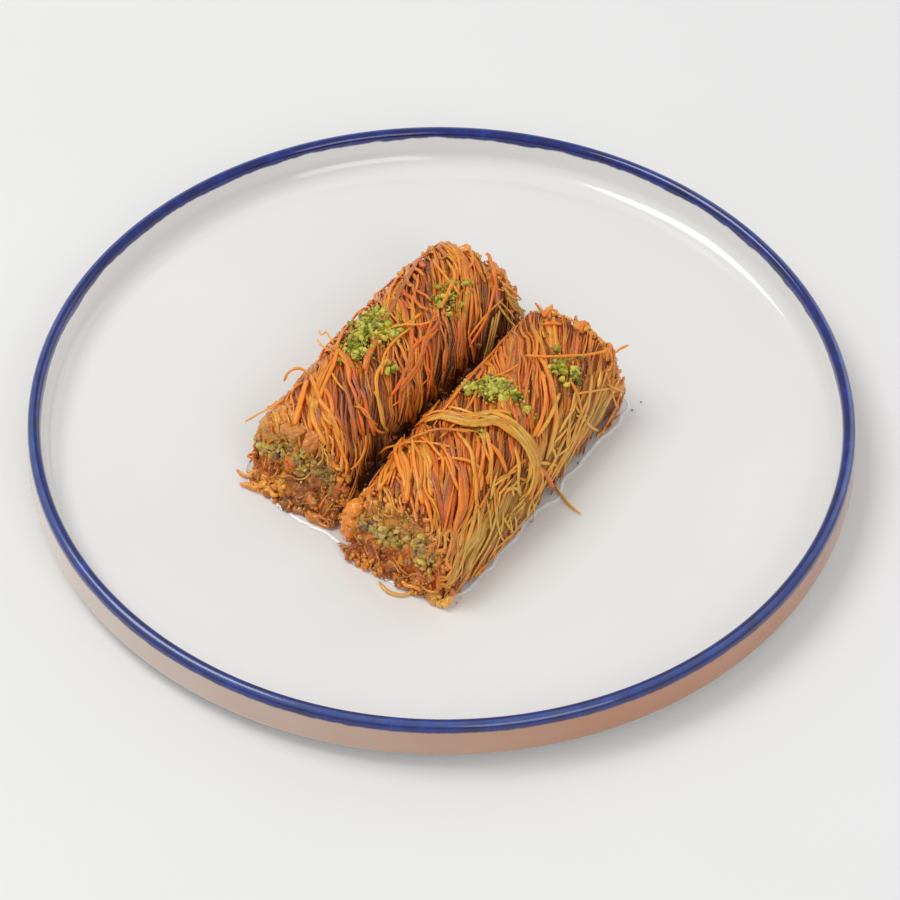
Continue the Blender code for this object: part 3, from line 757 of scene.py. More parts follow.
def core_traits(roll, points):
    """Tone, pale, soaked and hue of a core: tan at the top of a cut face, glassy low down, and soaked and
    dark in the gap, partly syrup and partly painted shade.
    """
    count = len(points) // CORE_AROUND
    height = (points[:, 2] - ROLL_BOTTOM) / roll.height
    on_face = np.repeat([1.0] * CORE_RINGS + [0.0] * CORE_ROWS + [1.0] * CORE_RINGS, CORE_AROUND)
    rights = np.tile(rise(CORE_SHARE, 0.62, 0.2), count)
    fleck = waves(points, 2.6, roll.seed + 5)
    tone = 0.2 + 0.1 * waves(points, 9.0, roll.seed + 3) + on_face * (0.2 + 0.25 * height + 0.12 * fleck)
    tan = np.clip(1.5 * height - 0.35 + 0.22 * waves(points, 4.0, roll.seed + 6), 0, 0.8)
    wet = unit(0.4 - 1.9 * height + 0.15 * fleck)
    pale, soaked = 0.5 * rights, unit(0.9 - 2.2 * height)
    if roll is LEFT:
        # The left roll's side and face towards the gap are soaked darker: partly syrup, partly painted shade.
        dark = np.tile(rise(CORE_SHARE, 0.5, 0.2), count) * rise(height, 0.5, -0.2)
        pale, soaked, wet = 0 * rights, unit(soaked + 0.7 * rights), unit(wet + 0.8 * dark)
    pale = np.where(on_face > 0, tan, pale)
    return np.stack([tone, pale, np.where(on_face > 0, wet, soaked), np.full_like(tone, 0.35)], -1)


def core_mesh(roll):
    """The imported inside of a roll: grooved like tight strands on its sides and crumbly at its cut ends."""
    depths = np.linspace(0.04, 0.97, CORE_RINGS)
    sides = [core_ring(roll, along, 1.0, 1.0) for along in np.linspace(-0.985, 0.985, CORE_ROWS)]
    rings = core_cap(roll, -1, depths) + sides + core_cap(roll, 1, depths[::-1])
    points = np.concatenate(rings)
    points = points + 0.25 * waves(points, 7.0, roll.seed + 2)[:, None] * normalised(points - points.mean(0))
    points[:, 2] = np.maximum(points[:, 2], FLOOR_HEIGHT + CLEARANCE / 2)
    faces = capped_grid(len(rings), CORE_AROUND)
    return build_mesh(roll.name + "_core", points, faces, core_traits(roll, points))


def face_traits(draw, low):
    """Tone, pale, soaked and hue of torn pastry on a cut face, from its foot (low 0) to its top (low 1)."""
    soaked = near(draw, 0.45 - 1.9 * low, 0.2)
    tone = near(draw, 0.48 + 0.3 * low, 0.22)
    pale = near(draw, 0.25 + 0.7 * low, 0.3)
    return tone, pale, soaked, near(draw, 0.5, 0.25)


def face_place(roll, draw, end, spread, margin):
    """A random place on a cut face outside its filling, as its distance across and up."""
    while True:
        angle, depth = draw.uniform(0.04, math.pi - 0.04), math.sqrt(draw.random())
        across, top = roll._outline(np.array([angle]), np.array([float(end)]))
        across, up = float(across[0]) * depth * spread, float(top[0]) * depth * spread
        if not roll.in_filling(float(end), across, up, margin):
            return across, up


def add_shreds(batch, roll, draw, end, count):
    """Torn ends of strands on a cut face: thin curved shreds that lie over it and stick out a little."""
    heading = end * np.array([math.cos(roll.heading), math.sin(roll.heading), 0.25])
    t = np.linspace(-0.5, 0.5, 7)
    for _ in range(count):
        across, up = face_place(roll, draw, end, 0.95, -0.4)
        length = draw.uniform(2.0, 7.0)
        turn = math.atan2(across, -(up - roll.height * 0.4)) + draw.normal() * 0.6
        bend = draw.normal() * 0.9
        a = across + length * t * math.cos(turn) - bend * (t**2 - 0.1) * math.sin(turn) * length
        u = np.maximum(up + length * t * math.sin(turn) + bend * (t**2 - 0.1) * math.cos(turn) * length, 0.4)
        out = draw.uniform(-0.5, 0.5) + draw.normal() * 0.5 * t + 0.25 * ripple(t + 0.5, draw, 2)
        along = end * (1 + (out + roll.flare(u, end)) / roll.half)
        limit = np.abs(roll.outline(along, np.where(a < 0, 0.25, 0.75))[0])
        path = roll.place(along, np.clip(a, -limit, limit), np.minimum(u, roll.size(along)[1] - 0.3))
        width = draw.uniform(0.2, 0.36)
        batch.add(path, heading, width, width * 0.8, *face_traits(draw, up / roll.height))


def add_droops(batch, roll, draw, end, count):
    """Strand ends that hang over the edge of a cut face."""
    for _ in range(count):
        share = draw.uniform(0.1, 0.9)
        reach, drop, sway = draw.uniform(2.0, 9.0), 5.0 * draw.random() ** 2, draw.normal() * 0.06
        far = end * (roll.half + draw.uniform(-0.1, 0.7))
        start = roll.on(end * (roll.half - reach), share + end * 0.02 * reach - sway, 0.25)
        middle = roll.on(end * (roll.half - reach / 2), share + end * 0.01 * reach, 0.45)
        edge = roll.on(far, share, 0.05)
        across, up = roll.outline(np.full(1, float(end)), share)
        along = end * (1 + draw.uniform(0.3, 1.1) / roll.half)
        tip = roll.place(along, across * 0.94 + draw.normal() * 1.2, np.maximum(up - drop, 0.4))[0]
        path = through([start, middle, edge, tip], 0.8)
        width = draw.uniform(0.25, 0.6)
        soaked = 0.8 * unit(1 - up[0] / roll.height * 1.6)
        pale, tone, hue = near(draw, 0.2, 0.15), draw.uniform(0.55, 1.0), near(draw, 0.5, 0.2)
        batch.add(path, roll.out(far * 0.98, share), width, width * 0.7, tone, pale, soaked, hue)


def add_foot_strands(batch, roll, draw, across, count, sizes, tone, pale, soaked):
    """Soaked strands that run along the foot of the front face, over a range of places across the roll."""
    t = np.linspace(-0.5, 0.5, 8)
    for _ in range(count):
        side = draw.uniform(*across) + draw.uniform(4, 9) * t
        up = np.maximum(draw.uniform(0.2, 2.2) + 0.5 * ripple(t + 0.5, draw, 1.5), 0.1)
        out = roll.flare(up, -1) + draw.uniform(-1.1, 0.0) + 0.5 * ripple(t + 0.5, draw, 1.5)
        width = draw.uniform(*sizes)
        path = roll.place(-1 - out / roll.half, side, up)
        batch.add(path, UPRIGHT, width, width * 0.8, near(draw, tone, 0.12), pale, soaked, 0.8)


def add_skirt(batch, roll, draw, count):
    """Soaked strands that lie in the syrup round the foot of a roll."""
    t = np.linspace(-0.5, 0.5, 7)
    for _ in range(count):
        corner = draw.random()
        length = draw.uniform(3, 9)
        wave = 0.5 * ripple(t + 0.5, draw, 1.5)
        if corner < 0.5:
            across = draw.uniform(-0.48, 0.48) * roll.width + length * t * 0.9
            along = -1 + (draw.uniform(-0.4, 0.8) + wave) / -roll.half
        else:
            side = -1 if corner < 0.7 else 1
            across = side * (roll.width / 2 + draw.uniform(-0.6, 0.5)) + wave
            along = draw.uniform(-0.98, 0.9) + length * t / roll.half
        path = roll.place(along, across, draw.uniform(0.1, 1.6) + 0.2 * wave)
        width = draw.uniform(0.3, 0.5)
        tone, pale, soaked = draw.uniform(0.5, 1.0), draw.uniform(0, 0.4), draw.uniform(0.6, 1.0)
        batch.add(path, UPRIGHT, width, width * 0.8, tone, pale, soaked, 0.6)


class Chunks:
    """Crumbs gathered into one mesh. Traits are those of its material: shade, skin and wet for nuts."""

    def __init__(self, seed, detail=2, rough=1.0):
        self.draw = np.random.default_rng(seed)
        self.rough = rough
        bm = bmesh.new()
        bmesh.ops.create_icosphere(bm, subdivisions=detail, radius=1.0)
        self.ball = np.array([v.co for v in bm.verts])
        self.faces = np.array([[v.index for v in f.verts] for f in bm.faces])
        bm.free()
        self.verts, self.tris, self.traits, self.count = [], [], [], 0

    def add(self, centre, radius, shade, skin, wet=0.0, hue=0.5):
        draw = self.draw
        centre = np.array(centre, float)
        centre[2] = min(max(centre[2], FLOOR_HEIGHT + radius * 0.6), TOP_HEIGHT - radius)
        seed = int(draw.integers(1 << 30))
        broad, fine = waves(self.ball, 1.6, seed, 5), waves(self.ball, 0.7, seed + 1, 5)
        lumps = 1 + self.rough * (0.24 * broad + 0.13 * fine)
        if len(self.ball) > 200:
            lumps += 0.08 * np.abs(waves(self.ball, 0.4, seed + 2, 5))
        shape = self.ball * np.clip(lumps, 0.45, 1.5)[:, None] * draw.uniform(0.6, 1.2, 3)
        axes = np.linalg.qr(draw.normal(size=(3, 3)))[0]
        if np.linalg.det(axes) < 0:
            axes[:, 0] *= -1
        self.verts.append(shape @ axes.T * radius + centre)
        self.tris.append(self.faces + self.count)
        self.traits.append(np.tile([shade, skin, wet, hue], (len(self.ball), 1)))
        self.count += len(self.ball)

    def mesh(self, name):
        faces = np.concatenate(self.tris).tolist()
        made = build_mesh(name, np.concatenate(self.verts), faces, np.concatenate(self.traits))
        made.set_sharp_from_angle(angle=math.radians(50))
        return made


def filling_mesh(roll):
    """The bed of ground nuts that runs the whole length of a roll."""
    around, rows = 64, 90
    angle = np.arange(around) / around * TAU
    c, s = np.cos(angle), np.sin(angle)
    verts = []
    stations = np.concatenate([[-0.98] * 3, np.linspace(-0.975, 0.975, rows), [0.98] * 3])
    depths = np.concatenate([[0.05, 0.5, 0.85], np.ones(rows), [0.85, 0.5, 0.05]])
    for along, depth in zip(stations, depths):
        width = roll.size(along)[0]
        left, right = FILLING_LEFT * width / 2, FILLING_RIGHT * width / 2
        across = (left + right) / 2 + (right - left) / 2 * np.sign(c) * np.abs(c) ** FILLING_POWER * depth
        middle, half = roll.filling_middle(along, across)
        up = middle + half * np.sign(s) * np.abs(s) ** FILLING_POWER * depth
        verts.append(roll.place(along, across, up))
    points = np.concatenate(verts)
    points = points + 0.3 * waves(points, 2.2, roll.seed + 7)[:, None] * normalised(points - points.mean(0))
    shade = unit(0.45 + 0.25 * waves(points, 3.0, roll.seed + 8))
    traits = np.column_stack([shade, np.tile((0.1, 0.4, 0.4), (len(shade), 1))])
    return build_mesh(roll.name + "_nut_bed", points, capped_grid(len(stations), around), traits)


def add_end_nuts(chunks, roll, end, count):
    """Nut pieces that show at a cut end: finely ground, some still green, some with skin."""
    draw = chunks.draw
    width = roll.size(float(end))[0]
    for _ in range(count):
        radius = 0.34 + 0.85 * draw.random() ** 2
        share = draw.uniform(0.0, 1.0)
        across = width / 2 * (FILLING_LEFT + (FILLING_RIGHT - FILLING_LEFT) * share)
        middle, half = roll.filling_middle(float(end), across)
        up = middle + np.clip(draw.normal() * 0.55, -1.35, 1.35) * half
        sink = 1.2 * max(0.0, share - 0.6) if roll is LEFT else 0.0
        along = end * (1 + (draw.uniform(-0.6, 0.35) - sink - 0.2 * radius) / roll.half)
        # On the left roll the pieces darken towards its right side, by the gap: painted shade.
        shade = near(draw, 0.75 - 0.5 * share if roll is LEFT else 0.6, 0.25)
        tan = np.clip(draw.normal(0.45, 0.4), 0, 0.95)
        chunks.add(roll.place(along, across, up), radius, shade, draw.random() < 0.05, 0.7, tan)


def add_face_lumps(lumps, roll, end, count, sizes):
    """Clumps and crumbs of torn pastry all over a cut face."""
    draw = lumps.draw
    for _ in range(count):
        across, up = face_place(roll, draw, end, 0.98, -0.6)
        radius = small_first(draw, sizes)
        fold = waves(np.array([across, up]), 6.0, roll.seed + 30)
        tone, pale, soaked, hue = face_traits(draw, up / roll.height)
        out = draw.uniform(-0.4, 0.2) + 0.45 * fold - 0.75 * radius + roll.flare(up - 0.7, end)
        centre = roll.place(end * (1 + out / roll.half), across, max(up - 0.7, 0.3))
        lumps.add(centre, radius, unit(tone + 0.15 * fold), pale, soaked, hue)


def add_rim_lumps(lumps, roll, end, count):
    """Clumps along the worn edge between a cut face and the round of the roll."""
    draw = lumps.draw
    for _ in range(count):
        share = draw.uniform(0.03, 0.97)
        radius = draw.uniform(0.4, 1.1)
        s = end * (roll.half + draw.uniform(-1.6, 0.2))
        lift = 0.5 if end > 0 else 0.0
        centre = roll.on(s, share, lift - roll.shoulder(s) - 0.45 * radius - draw.uniform(-0.2, 0.4))
        tone, pale, soaked, hue = face_traits(draw, 0.25 + 0.6 * (0.5 - abs(share - 0.5)))
        lumps.add(centre, radius, min(1.0, tone + 0.2), 0.5 * pale, soaked, hue)


def add_patch(lumps, roll, s, share, lift, count, sizes, tone, pale, soaked):
    """Clumps of matted pastry on the surface of a roll, over a range of s and share."""
    draw = lumps.draw
    for _ in range(count):
        place = draw.uniform(*s), draw.uniform(*share)
        radius = small_first(draw, sizes)
        depth = lift - 0.7 * radius - roll.shoulder(place[0]) + draw.normal() * 0.2
        shade, light = near(draw, tone, 0.15), near(draw, pale, 0.15)
        lumps.add(roll.on(*place, depth), radius, shade, light, soaked, near(draw, 0.6, 0.2))


def add_foot_gel(lumps, roll, across, count, sizes, tone, pale, soaked):
    """Soaked, glassy pastry along the foot of the front face, over a range of places across the roll."""
    draw = lumps.draw
    for _ in range(count):
        radius = small_first(draw, sizes)
        up = 2.6 * draw.random() ** 1.5 + 0.3
        along = -1 - (roll.flare(up, -1) + draw.uniform(-0.8, 0.3) - 0.6 * radius) / roll.half
        shade = near(draw, tone, 0.12)
        lumps.add(roll.place(along, draw.uniform(*across), up), radius, shade, pale, soaked, 0.8)


def add_side_nuts(chunks, roll, count):
    """Nut pieces along the roll's open left side."""
    draw = chunks.draw
    for _ in range(count):
        radius = draw.uniform(0.5, 1.0)
        along = draw.uniform(-0.98, 0.98)
        across = FILLING_LEFT * roll.size(along)[0] / 2 - draw.uniform(-0.6, 0.5)
        middle, half = roll.filling_middle(along, across)
        centre = roll.place(along, across, middle + draw.uniform(-0.8, 0.8) * half)
        chunks.add(centre, radius, near(draw, 0.4, 0.2), draw.random() < 0.15, 0.5, 0.35)


def add_heap(chunks, roll, s, across, spread, count, pile, sizes):
    """Ground pistachio sprinkled on top, heaped up in its middle."""
    draw = chunks.draw
    for _ in range(count):
        turn, far = draw.uniform(0, TAU), abs(draw.normal()) * 0.62
        place = s + spread[0] * far * math.cos(turn)
        share = 0.5 + (across + spread[1] * far * math.sin(turn)) / roll.arc
        if abs(place) > roll.half - 1:
            continue
        radius = small_first(draw, sizes, 1.5)
        lift = 0.55 + radius * 0.35 + pile * draw.random() * max(0.0, 1 - far)
        shade = near(draw, 0.6, 0.34)
        skin = radius < 0.6 and draw.random() < 0.14
        tan = np.clip(draw.normal(0.0, 0.2), 0, 0.6)
        chunks.add(roll.on(place, share, min(lift, 2.6)), radius, shade, skin, 0.15, tan)


class Finish:
    """A node material under construction."""

    def __init__(self, name):
        self.material = bpy.data.materials.new(name)
        self.material.use_nodes = True
        self.tree = self.material.node_tree
        self.shader = self.tree.nodes["Principled BSDF"]

    def add(self, kind, settings=None, **inputs):
        node = self.tree.nodes.new("ShaderNode" + kind)
        for key, value in (settings or {}).items():
            setattr(node, key, value)
        for key, value in inputs.items():
            self.feed(node, key, value)
        return node

    def feed(self, node, key, value):
        if key.startswith("in") and key[2:].isdigit():
            socket = node.inputs[int(key[2:])]
        else:
            socket = node.inputs[key.replace("_", " ")]
        if isinstance(value, bpy.types.NodeSocket):
            self.tree.links.new(value, socket)
        else:
            socket.default_value = value

    def set(self, **inputs):
        for key, value in inputs.items():
            self.feed(self.shader, key, value)

    def place(self):
        return self.add("TexCoord").outputs["Object"]

    def noise(self, size_mm, detail=3.0, roughness=0.55, stretch=None):
        """Noise with features about size_mm across, from 0 to 1."""
        place = self.place()
        if stretch:
            place = self.add("Mapping", Vector=place, Scale=stretch).outputs[0]
        scale = 1 / (size_mm * MM)
        made = self.add("TexNoise", Vector=place, Scale=scale, Detail=detail, Roughness=roughness)
        return made.outputs["Fac"]

    def math(self, operation, a, b=0.0, c=0.0, clamp=False):
        made = self.add("Math", {"operation": operation, "use_clamp": clamp}, in0=a, in1=b, in2=c)
        return made.outputs[0]

    def scaled(self, value, gain, offset, clamp=False):
        return self.math("MULTIPLY_ADD", value, gain, offset, clamp)

    def ramp(self, factor, stops):
        """Colours over a factor, each stop a position and its red, green and blue."""
        made = self.add("ValToRGB", in0=factor)
        elements = made.color_ramp.elements
        while len(elements) < len(stops):
            elements.new(0.5)
        for element, (position, *colour) in zip(elements, stops):
            element.position = position
            element.color = (*colour, 1.0)
        return made.outputs["Color"]

    def mix(self, factor, a, b, blend="MIX"):
        made = self.add("Mix", {"data_type": "RGBA", "blend_type": blend, "clamp_factor": True})
        for index, value in ((0, factor), (6, a), (7, b)):
            if isinstance(value, bpy.types.NodeSocket):
                self.tree.links.new(value, made.inputs[index])
            else:
                made.inputs[index].default_value = (*value, 1.0) if index else value
        return made.outputs[2]

    def traits(self):
        """The four numbers on every point of a piece."""
        read = self.add("Attribute", {"attribute_name": "traits"})
        return *self.add("SeparateXYZ", in0=read.outputs["Vector"]).outputs, read.outputs["Alpha"]

    def bump(self, height, distance_mm, strength):
        made = self.add("Bump", Strength=strength, Distance=distance_mm * MM, Height=height)
        self.set(Normal=made.outputs["Normal"])


BAKED = (
    (0.0, 0.26, 0.086, 0.028), (0.22, 0.44, 0.145, 0.040), (0.45, 0.60, 0.170, 0.028),
    (0.7, 0.87, 0.235, 0.015), (1.0, 0.99, 0.350, 0.022),
)
BAKED_HUES = ((0.0, 0.97, 0.66, 0.8), (0.5, 1.0, 0.9, 0.85), (1.0, 1.0, 1.06, 0.9))
STRAW = ((0.0, 0.32, 0.14, 0.033), (0.5, 0.66, 0.34, 0.050), (1.0, 0.92, 0.55, 0.11))
SOAKED = ((0.0, 0.05, 0.015, 0.006), (0.3, 0.22, 0.076, 0.020), (1.0, 0.78, 0.30, 0.025))
FRESH_NUT = (
    (0.0, 0.10, 0.11, 0.008), (0.45, 0.33, 0.33, 0.014), (0.8, 0.54, 0.51, 0.03), (1.0, 0.68, 0.64, 0.10),
)
MOIST_NUT = (
    (0.0, 0.13, 0.08, 0.012), (0.4, 0.44, 0.29, 0.03), (0.75, 0.70, 0.51, 0.05), (1.0, 0.80, 0.66, 0.13),
)
TAN_NUT = ((0.0, 0.24, 0.11, 0.03), (1.0, 0.74, 0.46, 0.14))
NUT_SKIN = ((0.0, 0.10, 0.035, 0.035), (1.0, 0.30, 0.14, 0.09))
WHITE_GLAZE = ((0.3, 0.80, 0.795, 0.78), (0.7, 0.83, 0.825, 0.81))
BLUE_GLAZE = ((0.3, 0.003, 0.006, 0.075), (0.58, 0.003, 0.014, 0.17), (0.85, 0.008, 0.06, 0.36))
CREST_REFLECTION_BLUE = (0.16, 0.24, 0.55)
BLUSH_WITH_PAINTED_SHADE = ((0.0, 0.74, 0.68, 0.62), (0.55, 0.60, 0.46, 0.38), (1.0, 0.47, 0.22, 0.12))
WALL_HIGHLIGHT_LINE = (0.80, 0.68, 0.58)
UNDERSIDE = (0.72, 0.66, 0.60)
TABLE_WHITE = ((0.3, 0.81, 0.81, 0.805), (0.7, 0.825, 0.825, 0.82))
# Over the edge trait of the pool, from its inside (0) to its shore (1); the white near the shore is a painted
# highlight along the rounded edge
SYRUP_COLOURS_AND_HIGHLIGHT = (
    (0.0, 0.80, 0.66, 0.45), (0.3, 0.88, 0.80, 0.68), (0.5, 1.0, 1.0, 1.0), (1.0, 1.0, 1.0, 1.0),
)
SYRUP_COVER_AND_HIGHLIGHT = ((0.0, 0.04), (0.3, 0.06), (0.5, 0.6), (0.8, 0.7), (1.0, 0.4))


def pastry_finish(name, wet, relief, grain):
    """Baked strands: brown where packed, orange where crisp, darker where syrup soaks them; low tone and
    soaking also carry painted shade near the gap.
    """
    finish = Finish(name)
    tone, pale, soaked, hue = finish.traits()
    mottle = finish.noise(1.6, 4)
    broad = finish.noise(9.0, 2)
    shade = finish.scaled(mottle, 0.42, -0.21)
    shade = finish.math("ADD", finish.scaled(broad, 0.3, -0.15), shade)
    shade = finish.math("ADD", finish.scaled(finish.noise(0.7, 2), 2 * grain, -grain), shade)
    shade = finish.math("ADD", tone, shade, clamp=True)
    baked = finish.ramp(shade, BAKED)
    warm = finish.mix(1.0, baked, finish.ramp(hue, BAKED_HUES), "MULTIPLY")
    colour = finish.mix(pale, warm, finish.ramp(shade, STRAW))
    soak = finish.ramp(shade, SOAKED)
    colour = finish.mix(finish.math("MULTIPLY", soaked, 0.85), colour, soak)
    finish.set(
        Base_Color=colour,
        Roughness=finish.scaled(mottle, 0.16, finish.scaled(soaked, -0.2, 0.38)),
        Specular_IOR_Level=0.3,
        Subsurface_Weight=0.45,
        Subsurface_Radius=(1.0, 0.4, 0.15),
        Subsurface_Scale=0.0012,
        Coat_Weight=wet,
        Coat_Roughness=0.06,
    )
    finish.bump(finish.noise(0.6, 3), relief, 0.7)
    return finish.material


def nut_finish(name, meat_colours, coat):
    """Pistachio: yellow-green to deep green meat, with some purple-brown skin."""
    finish = Finish(name)
    shade, skin, wet, tan = finish.traits()
    mottle = finish.scaled(finish.noise(0.9, 3), 0.4, -0.2)
    shade = finish.math("ADD", shade, mottle, clamp=True)
    meat = finish.ramp(shade, meat_colours)
    meat = finish.mix(tan, meat, finish.ramp(shade, TAN_NUT))
    finish.set(
        Base_Color=finish.mix(skin, meat, finish.ramp(shade, NUT_SKIN)),
        Roughness=finish.scaled(wet, -0.25, 0.55),
        Subsurface_Weight=0.2,
        Subsurface_Radius=(1.0, 0.9, 0.3),
        Subsurface_Scale=0.001,
        Coat_Weight=coat,
        Coat_Roughness=0.15,
    )
    finish.bump(finish.noise(0.4, 3), 0.15, 0.7)
    return finish.material


def blue_band(finish, z, outside):
    """How much of the blue lip covers a place, with its uneven lower edge, and its colour there, with a
    painted reflection along its outer crest.
    """
    uneven = finish.scaled(finish.noise(14.0, 3), 2.6 * MM, -1.3 * MM)
    uneven = finish.math("MULTIPLY", uneven, finish.scaled(outside, -0.7, 1.0))
    fine = finish.scaled(finish.noise(3.0, 2), 0.6 * MM, -0.3 * MM)
    edge = finish.math("ADD", finish.math("ADD", z, uneven), fine)
    band = finish.math("SUBTRACT", edge, (RIM_HEIGHT - BLUE_BAND) * MM)
    band = finish.scaled(band, 1 / (0.5 * MM), 0.5, clamp=True)
    blue = finish.ramp(finish.noise(5.0, 4, 0.6, (1, 1, 0.25)), BLUE_GLAZE)
    # A painted reflection: a lighter streak along the outer crest of the lip.
    above = finish.math("SUBTRACT", z, (RIM_HEIGHT - 0.75) * MM)
    crest = finish.scaled(above, 1 / (0.5 * MM), 0.0, clamp=True)
    thin = finish.math("MULTIPLY", finish.math("MULTIPLY", crest, outside), finish.noise(9.0, 3))
    return band, finish.mix(finish.math("MULTIPLY", thin, 0.55), blue, CREST_REFLECTION_BLUE)


def blushed_wall_painted_light(finish, z, angle):
    """The plate's outer wall: a warm blush, with painted light and shade that make it pale on one side and
    deeper on the other, and a painted highlight line above its foot.
    """
    # Partly the glaze's own warm tint, partly painted light and shade with a painted warm reflection: pale on
    # one side, deep terracotta on the other.
    lean = finish.math("COSINE", finish.math("ADD", angle, 0.75))
    lean = finish.scaled(lean, 0.5, 0.5)
    cloud = finish.scaled(finish.noise(40.0, 3), 0.3, -0.15)
    blush = finish.ramp(finish.math("ADD", lean, cloud, clamp=True), BLUSH_WITH_PAINTED_SHADE)
    # A painted highlight: a pale line just above the foot of the outer wall.
    line = finish.math("LESS_THAN", finish.math("ABSOLUTE", finish.math("SUBTRACT", z, 3.5 * MM)), 0.5 * MM)
    blush = finish.mix(finish.math("MULTIPLY", line, 0.45), blush, WALL_HIGHLIGHT_LINE)
    return finish.mix(finish.math("LESS_THAN", z, 3.0 * MM), blush, UNDERSIDE)


def plate_finish():
    """White glaze inside, a blue band on the lip that breaks unevenly, with a painted reflection along its
    crest, and a warm blush on the outside, with painted light and shade across it.
    """
    finish = Finish("plate_glaze")
    x, y, z = finish.add("SeparateXYZ", in0=finish.place()).outputs
    square = finish.math("ADD", finish.math("MULTIPLY", x, x), finish.math("MULTIPLY", y, y))
    outside = finish.math("GREATER_THAN", finish.math("SQRT", square), (RIM_RADIUS - LIP_RADIUS) * MM)
    band, blue = blue_band(finish, z, outside)
    wall = blushed_wall_painted_light(finish, z, finish.math("ARCTAN2", y, x))
    body = finish.mix(outside, finish.ramp(finish.noise(60.0, 3), WHITE_GLAZE), wall)
    finish.set(
        Base_Color=finish.mix(band, body, blue),
        Roughness=finish.scaled(finish.noise(25.0, 3), 0.08, 0.1),
        Coat_Weight=0.5,
        Coat_Roughness=0.06,
    )
    finish.bump(finish.noise(22.0, 2), 0.12, 0.5)
    return finish.material


def syrup_finish():
    """Clear syrup: a thin film that shows the glaze below, with a painted highlight along its rounded edge.
    """
    finish = Finish("syrup")
    edge = finish.traits()[0]
    colour = finish.ramp(edge, SYRUP_COLOURS_AND_HIGHLIGHT)
    cover = finish.ramp(edge, [(position, grey, grey, grey) for position, grey in SYRUP_COVER_AND_HIGHLIGHT])
    finish.set(Base_Color=colour, Roughness=0.04, Coat_Weight=1.0, Coat_Roughness=0.03, Alpha=cover)
    finish.bump(finish.noise(2.2, 2), 0.35, 0.7)
    return finish.material


def floor_finish():
    finish = Finish("table_paper")
    finish.set(Base_Color=finish.ramp(finish.noise(90.0, 3), TABLE_WHITE), Roughness=0.6)
    return finish.material


def turned(profile, steps):
    """A closed body turned about Z from a profile of radius and height that starts and ends on the axis."""
    angle = np.arange(steps) / steps * TAU
    inner = profile[1:-1]
    c, s = np.cos(angle), np.sin(angle)
    rings = [np.column_stack([r * c, r * s, np.full(steps, z)]) for r, z in inner]
    points = np.concatenate([*rings, [[0, 0, profile[0][1]], [0, 0, profile[-1][1]]]])
    faces = [face[::-1] for face in closed_grid(len(inner), steps)]
    top, bottom = len(points) - 2, len(points) - 1
    last = (len(inner) - 1) * steps
    for j in range(steps):
        k = (j + 1) % steps
        faces.append([top, j, k])
        faces.append([bottom, last + k, last + j])
    return points, faces


def arc_points(centre_r, centre_z, radius, start, end, steps):
    angles = np.radians(np.linspace(start, end, steps + 1))
    return [(centre_r + radius * math.cos(a), centre_z + radius * math.sin(a)) for a in angles]


def make_plate():
    lip = arc_points(RIM_RADIUS - LIP_RADIUS, RIM_HEIGHT - LIP_RADIUS, LIP_RADIUS, 180, 0, 18)
    edge = arc_points(FLOOR_RADIUS, FLOOR_HEIGHT + FLOOR_FILLET, FLOOR_FILLET, -90, -8, 14)
    corner_height = CORNER_BOTTOM + CORNER_FILLET
    corner = arc_points(BELLY_RADIUS - CORNER_FILLET, corner_height, CORNER_FILLET, 0, -84, 12)
    floor = [(r, FLOOR_HEIGHT) for r in np.linspace(4, FLOOR_RADIUS - 1, 24)]
    inner = FOOT_OUTER - FOOT_WIDTH
    foot = [
        (FOOT_OUTER + 0.9, UNDERSIDE_HEIGHT + 0.05),
        (FOOT_OUTER + 0.35, UNDERSIDE_HEIGHT - 0.3),
        (FOOT_OUTER + 0.1, 0.3),
        (FOOT_OUTER - 0.3, 0.0),
        (inner + 0.3, 0.0),
        (inner - 0.1, 0.3),
        (inner - 0.35, UNDERSIDE_HEIGHT - 0.3),
        (inner - 0.9, UNDERSIDE_HEIGHT),
    ]
    profile = [(0, FLOOR_HEIGHT), *floor, *edge, *lip, *corner, *foot, (0, UNDERSIDE_HEIGHT)]
    points, faces = turned(profile, 288)
    add_piece(build_mesh("plate_glazed", points, faces), plate_finish(), "plate")


def make_strands(roll, finishes):
    """The wound strands of a roll: packed ones below, darkened with painted shade, and crisp ones in locks on
    top.
    """
    draw = np.random.default_rng(roll.seed)
    deep = Strands(5)
    # The deep layers' low tones make them browner, and also paint the shade that falls under the top strands.
    add_layer(deep, roll, draw, -0.95, 0.62, 0.36, (0.0, 0.3), 1, 0.03, (-0.2, 1.2))
    add_layer(deep, roll, draw, -0.5, 0.8, 0.34, (0.05, 0.55), 2, 0.06, (-0.8, 1.5))
    add_piece(deep.mesh(roll.name + "_inner_strands"), finishes["packed"])
    top = Strands(6)
    overhang = -1.6 if roll is LEFT else -0.4
    add_layer(top, roll, draw, -0.1, 3.0, 0.42, (0.4, 0.9), 2, 0.1, (overhang, 1.8))
    add_locks(top, roll, draw, 25, 0.3, (0.6, 1.0), 0.12, (overhang, 2.0))
    add_locks(top, roll, draw, 15, 0.7, (0.7, 1.0), 0.28, (overhang, 2.2))
    add_layer(top, roll, draw, 0.15, 3.4, 0.19, (0.55, 1.0), 2, 0.15, (overhang, 2.0))
    add_loose(top, roll, draw, 8, (0.22, 0.86))
    if roll is LEFT:
        add_mats(top, roll, draw, 80, (0.0, 0.05), (0.14, 0.3))
        add_loose(top, roll, draw, 16, (0.05, 0.25))
        draw_left_strands(top, draw)
    else:
        add_mats(top, roll, draw, 70, (0.68, 0.8), (0.93, 0.99))
        add_loose(top, roll, draw, 22, (0.68, 0.95))
        draw_right_strands(top, draw)
    add_piece(top.mesh(roll.name + "_strands"), finishes["crisp"])


